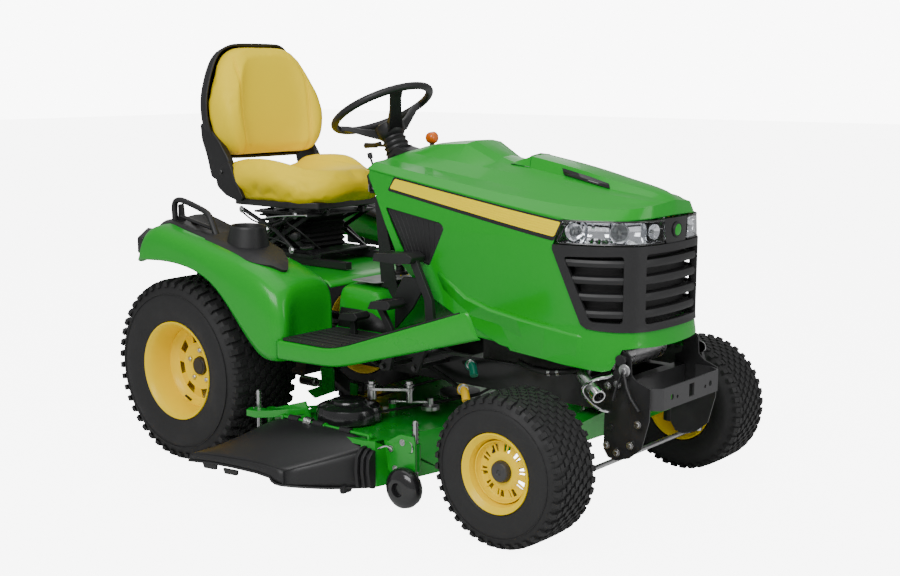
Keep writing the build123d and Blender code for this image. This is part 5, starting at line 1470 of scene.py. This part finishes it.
# gauge wheels: domed black discs with a hollow hub
for place in ("front", "rear"):
    x, y = (1035, 575) if place == "front" else (392, 545)
    for side, name in SIDES:
        dome = lathe([(-20, 34), (-23, 50), (-17, 60), (0, 64), (15, 61), (24, 52), (30, 40),
                      (33, 28), (33, 22), (26, 19), (18, 17), (16, 2)], (x, side * (y + 10), 105),
                     (0, side, 0), 64)
        piece(f"gauge_{place}_{name}.wheel", dome, GLOSS_BLACK, f"gauge_{place}_{name}", smooth=50,
              replaces=f"gauge_wheel_{place}_{name}")
        # perforated height pin with its ring; the perforations are painted shade
        px, py, top = (1042, 539, 307) if place == "front" else (352, 545, 300)
        base = 108
        stub = tube([(px, side * py, base), (px, side * (py + 2), 100), (x, side * (y - 12), 105),
                     (x, side * (y + 14), 105)], 7, 12, 1)
        pin = lathe([(0, 8.5), (top - base - 3, 8.5), (top - base, 6)], (px, side * py, base),
                    (0, 0, 1), 24)
        piece(f"height_pin_{place}_{name}", joined([pin, stub]), STEEL, "deck",
              replaces="gauge_pins" if place == "front" and side < 0 else None)
        # black rods across the pin stand in for its holes: painted shade, no hole is cut
        holes = [tube([(px - 7, side * (py + 9), top - 14 - 15 * k),
                       (px + 7, side * (py - 9), top - 14 - 15 * k)], 3, 8, 0)
                 for k in range(6)]
        piece(f"pin_hole_shade_{place}_{name}", joined(holes), BLACK_STEEL, "deck")
        loop = [(px - 4 + 15 * cos(a), side * (py + 22 + 5 * cos(a)), 226 + 17 * sin(a))
                for a in (2 * pi * k / 24 for k in range(25))]
        piece(f"pin_ring_{place}_{name}", tube(loop, 2.2, 8, 0), CHROME, "deck")

# brackets that carry the rear height pins, and the front ones
for side, name in SIDES:
    rows = []
    for x, y, z, half, deep in ((334, 566, 240, 8, 12), (346, 574, 240, 22, 22),
                                (392, 572, 242, 24, 24), (440, 548, 246, 22, 24),
                                (494, 516, 254, 24, 24), (548, 490, 262, 28, 20)):
        rows.append([(x, side * (y - half), z), (x, side * (y + half), z),
                     (x, side * (y + half), z - deep), (x, side * (y + half - 5), z - deep),
                     (x, side * (y + half - 5), z - 5), (x, side * (y - half), z - 5)])
    piece(f"rear_bracket_{name}", ring_loft(rows), STEEL_PAINT, "deck", smooth=30, bevel=1.5)
    plate = prism(rounded([(1000, 262), (1056, 262), (1060, 246), (1060, 150), (1046, 128),
                           (990, 118), (950, 140), (940, 226)], 10), "y",
                  side * 556, side * 563)
    piece(f"front_bracket_{name}", plate, STEEL_PAINT, "deck", bevel=1.5)
    piece(f"front_bracket_bolts_{name}",
          joined([bolt((x, side * 563, z), (0, side, 0), 7, 5) for x, z in
                  ((962, 210), (1010, 238), (980, 150))]), STEEL, "deck")
    hook = tube(on_side(side, [(944, 600, 214), (966, 604, 226), (984, 602, 232),
                 (1002, 600, 224)]), 3, 8, 2)
    piece(f"deck_hook_{name}", hook, CHROME, "deck")

# idler link and the bolted pins at its ends
piece("idler_cap", joined([bolt((703, -364, 338), (0, 0, 1), 13, 12),
                           lathe([(0, 15), (46, 15)], (703, -364, 290), (0, 0, 1), 24)]),
      STEEL, "idler")
piece("idler_end", joined([bolt((806, -296, 338), (0, 0, 1), 11, 14),
                           lathe([(0, 11), (60, 11)], (806, -296, 280), (0, 0, 1), 24)]),
      STEEL, "idler")
link = prism(rounded([(690, -378), (716, -382), (822, -304), (818, -282), (796, -280),
                      (692, -350)], 12), "z", 320, 330)
piece("idler_link", link, STEEL, "idler", bevel=1.5)

# strut, rear hanger and quick couplers
piece("deck_strut", tube([(470, -184, 396), (561, -232, 384), (640, -250, 374)], 9, 12, 0),
      BLACK_STEEL)
hanger = prism(rounded([(362, 330), (427, 334), (427, 250), (332, 211), (292, 234),
                        (367, 263)], 8), "y", -262, -256)
piece("rear_hanger", hanger, STEEL_PAINT, "deck", bevel=1.2)
piece("hanger_pin", lathe([(0, 17), (70, 17), (72, 13), (96, 13)], (270, -262, 271), (1, 0.02, 0),
                          32), STEEL, "deck", bevel=1)
for k, (x, y, z, skin, colour) in enumerate((
        (1058, -330, 368, YELLOW_CAP, "yellow"), (1026, -250, 429, TEAL_CAP, "teal"))):
    axis = Vector((0.62, -0.7, 0.28)).normalized()
    body = lathe([(-34, 11), (-20, 11), (-19, 15), (-4, 15), (-3, 12), (10, 12), (11, 16),
                  (26, 16), (28, 12), (40, 11)], (x, y, z), axis, 32)
    piece(f"coupler_{colour}", body, STEEL, bevel=0.6)
    cap = lathe([(-6, 16.5), (-4, 18.5), (8, 18.5), (10, 16.5)], (x, y, z), axis, 32)
    piece(f"coupler_band_{colour}", cap, skin, bevel=1)
    plug = tube([Vector((x, y, z)) + axis * 30, (x + 34, y - 30, z - 2),
                 (x + 46, y - 40, z - 22)], 13, 16, 2)
    piece(f"coupler_plug_{colour}", plug, skin)
    hose = tube([Vector((x, y, z)) - axis * 30, (x - 70, y + 70, z - 20),
                 (x - 160, y + 120, z - 10), (x - 260, y + 130, z + 20)], 8, 12, 3)
    piece(f"coupler_hose_{colour}", hose, RUBBER)

# ---------------------------------------------------------------- front end
for side, name in SIDES:
    heads = [bolt((x, side * 224, z), (0, side, 0), size, 6) for x, z, size in (
        (1524, 432, 8), (1558, 440, 8), (1524, 250, 8), (1560, 232, 8), (1606, 262, 8),
        (1630, 330, 8))]
    piece(f"plate_bolts_{name}", joined(heads), STEEL, bevel=0.4)
    piece(f"plate_pivot_{name}", joined([
        bolt((1582, side * 224, 486), (0, side, 0), 11, 12),
        lathe([(0, 19), (4, 19), (5, 17)], (1582, side * 224, 486), (0, side, 0), 32)]),
        STEEL, bevel=0.5)
# V bracket between the pivot bolt and the bumper
for side, name in SIDES:
    arms = [tube([(1582, side * 232, 486), (1600, side * 232, 420), (1636, side * 228, 372)],
                 7, 8, 1, 0.4),
            tube([(1582, side * 232, 486), (1562, side * 232, 440), (1548, side * 230, 392)],
                 7, 8, 1, 0.4)]
    piece(f"v_bracket_{name}", joined(arms), BLACK_STEEL)

# exhaust end ring and the wire guard round it
EXHAUST_TIP = (1544, -300, 414)
EXHAUST_RUN = (92, -50, -41)
piece("exhaust_end", lathe([(-26, 20), (-24, 21.5), (-2, 21.5), (0, 20), (0, 16.5), (-20, 16)],
                           EXHAUST_TIP, EXHAUST_RUN, 40, closed=True), CHROME)
guard = [(1540, -226, 476), (1562, -258, 470), (1526, -296, 466), (1474, -302, 428),
         (1524, -288, 376), (1552, -258, 362), (1540, -226, 357)]
piece("wire_guard", tube(guard, 4.5, 10, 2), CHROME)

# hoses and harness in front of the engine plate
for k, path in enumerate((
        [(1440, -150, 470), (1380, -226, 452), (1290, -240, 440), (1180, -200, 452)],
        [(1430, -120, 520), (1350, -246, 505), (1240, -250, 500), (1120, -210, 520)],
        [(1490, 120, 470), (1400, 240, 460), (1280, 240, 450), (1160, 200, 460)])):
    piece(f"frame_hose_{k}", tube(path, 9, 12, 4), RUBBER)
    for n in (0.33, 0.66):
        a, b = Vector(path[1]), Vector(path[2])
        p = a.lerp(b, n)
        piece(f"hose_clip_{k}_{int(n * 100)}",
              lathe([(-5, 11), (5, 11)], p, b - a, 20), STEEL)

# steering knuckle and tie rod fittings
for side, name in SIDES:
    body = f"knuckle_{name}"
    piece(f"kingpin_cap_{name}", lathe([(0, 16), (6, 15), (9, 10), (9.5, 2)],
                                       (1400, side * 375, 328), (0, 0, 1), 32),
          YELLOW_CAP, body, smooth=50)
    piece(f"grease_fitting_{name}", tube([(1400, side * 375, 336), (1400, side * 375, 350)],
                                         3.2, 10, 0), STEEL, body)
    piece(f"rod_nut_{name}", bolt((1500, side * 375, 200), (0, 0, 1), 9, 9), STEEL, body)
for side, name in SIDES:
    end = joined([
        lathe([(-12, 12), (-10, 17), (8, 17), (10, 13), (10, 4)], (1500, side * 375, 178),
              (0, 0, 1), 32),
        lathe([(0, 10.5), (26, 10.5)], (1500, side * 340, 178), (0, -side, 0), 6),
        lathe([(0, 9), (34, 9)], (1500, side * 366, 178), (0, -side, 0), 24),
    ])
    piece(f"rod_end_{name}", end, STEEL, "tie_rod", bevel=0.5)

# drawbar bolts at the tail
piece("drawbar_bolts", joined([bolt((-180, side * 60, 332), (0, 0, 1), 9, 8)
                               for side in (-1, 1)]), STEEL)


# ---------------------------------------------------------------- floor, light and camera
WORLD_LIGHT = 0.42
BACKDROP = 9.0
FLOOR_GLOW = 7.0
FLOOR_HALF = 30
corners = [(-FLOOR_HALF, -FLOOR_HALF, 0), (FLOOR_HALF, -FLOOR_HALF, 0),
           (FLOOR_HALF, FLOOR_HALF, 0), (-FLOOR_HALF, FLOOR_HALF, 0)]
floor_mesh = bpy.data.meshes.new("floor")
floor_mesh.from_pydata(corners, [], [(0, 1, 2, 3)])
floor = bpy.data.objects.new("floor", floor_mesh)
bpy.context.scene.collection.objects.link(floor)
pale = finish("floor", (0.80, 0.80, 0.80), (0.78, 0.78, 0.78), (0.5, 0.6), grain=40, bump=0.01)
seen = wire(pale.node_tree, "LightPath", {}).outputs["Is Camera Ray"]
gain = wire(pale.node_tree, "Math", {0: seen, 1: FLOOR_GLOW})
gain.operation = "MULTIPLY"
set_inputs(pale.node_tree, pale.node_tree.nodes["Principled BSDF"],
           {"Emission Color": (1, 1, 1, 1), "Emission Strength": gain.outputs["Value"]})
floor_mesh.materials.append(pale)

world = bpy.data.worlds.new("studio")
world.use_nodes = True
level = wire(world.node_tree, "MapRange", {"To Min": WORLD_LIGHT, "To Max": BACKDROP})
shown = wire(world.node_tree, "LightPath", {}).outputs["Is Camera Ray"]
set_inputs(world.node_tree, level, {"Value": shown})
set_inputs(world.node_tree, world.node_tree.nodes["Background"],
           {"Color": (1, 1, 1, 1), "Strength": level.outputs["Result"]})
bpy.context.scene.world = world


def aimed(obj, place, aim):
    """Put a lamp or the camera in the scene, looking at a point."""
    obj.location = place
    obj.rotation_euler = (Vector(aim) - Vector(place)).to_track_quat("-Z", "Y").to_euler()
    bpy.context.scene.collection.objects.link(obj)
    return obj


def lamp(name, place, aim, size, power):
    """Rectangular soft light."""
    light = bpy.data.lights.new(name, "AREA")
    light.shape = "RECTANGLE"
    light.size, light.size_y = size
    light.energy = power
    aimed(bpy.data.objects.new(name, light), place, aim)


lamp("key", (1.5, -4.5, 4.2), (0, 0, 0.6), (4.0, 2.5), 235)
lamp("top", (0.0, 0.0, 5.0), (0, 0, 0.4), (5.0, 4.0), 70)
lamp("rim", (-3.5, 4.0, 3.0), (0, 0, 0.8), (3.0, 2.0), 22)
lamp("front", (5.0, 0.8, 2.2), (0.3, 0, 0.6), (2.0, 2.5), 50)

camera_data = bpy.data.cameras.new("camera")
camera_data.lens = 53.70
camera_data.sensor_width = 36
camera_data.shift_x = 0.0087
camera_data.shift_y = 0.0354
bpy.context.scene.camera = aimed(bpy.data.objects.new("camera", camera_data),
                                 at(3624.76, -3522.63, 1354.45), at(700, 0, 500))
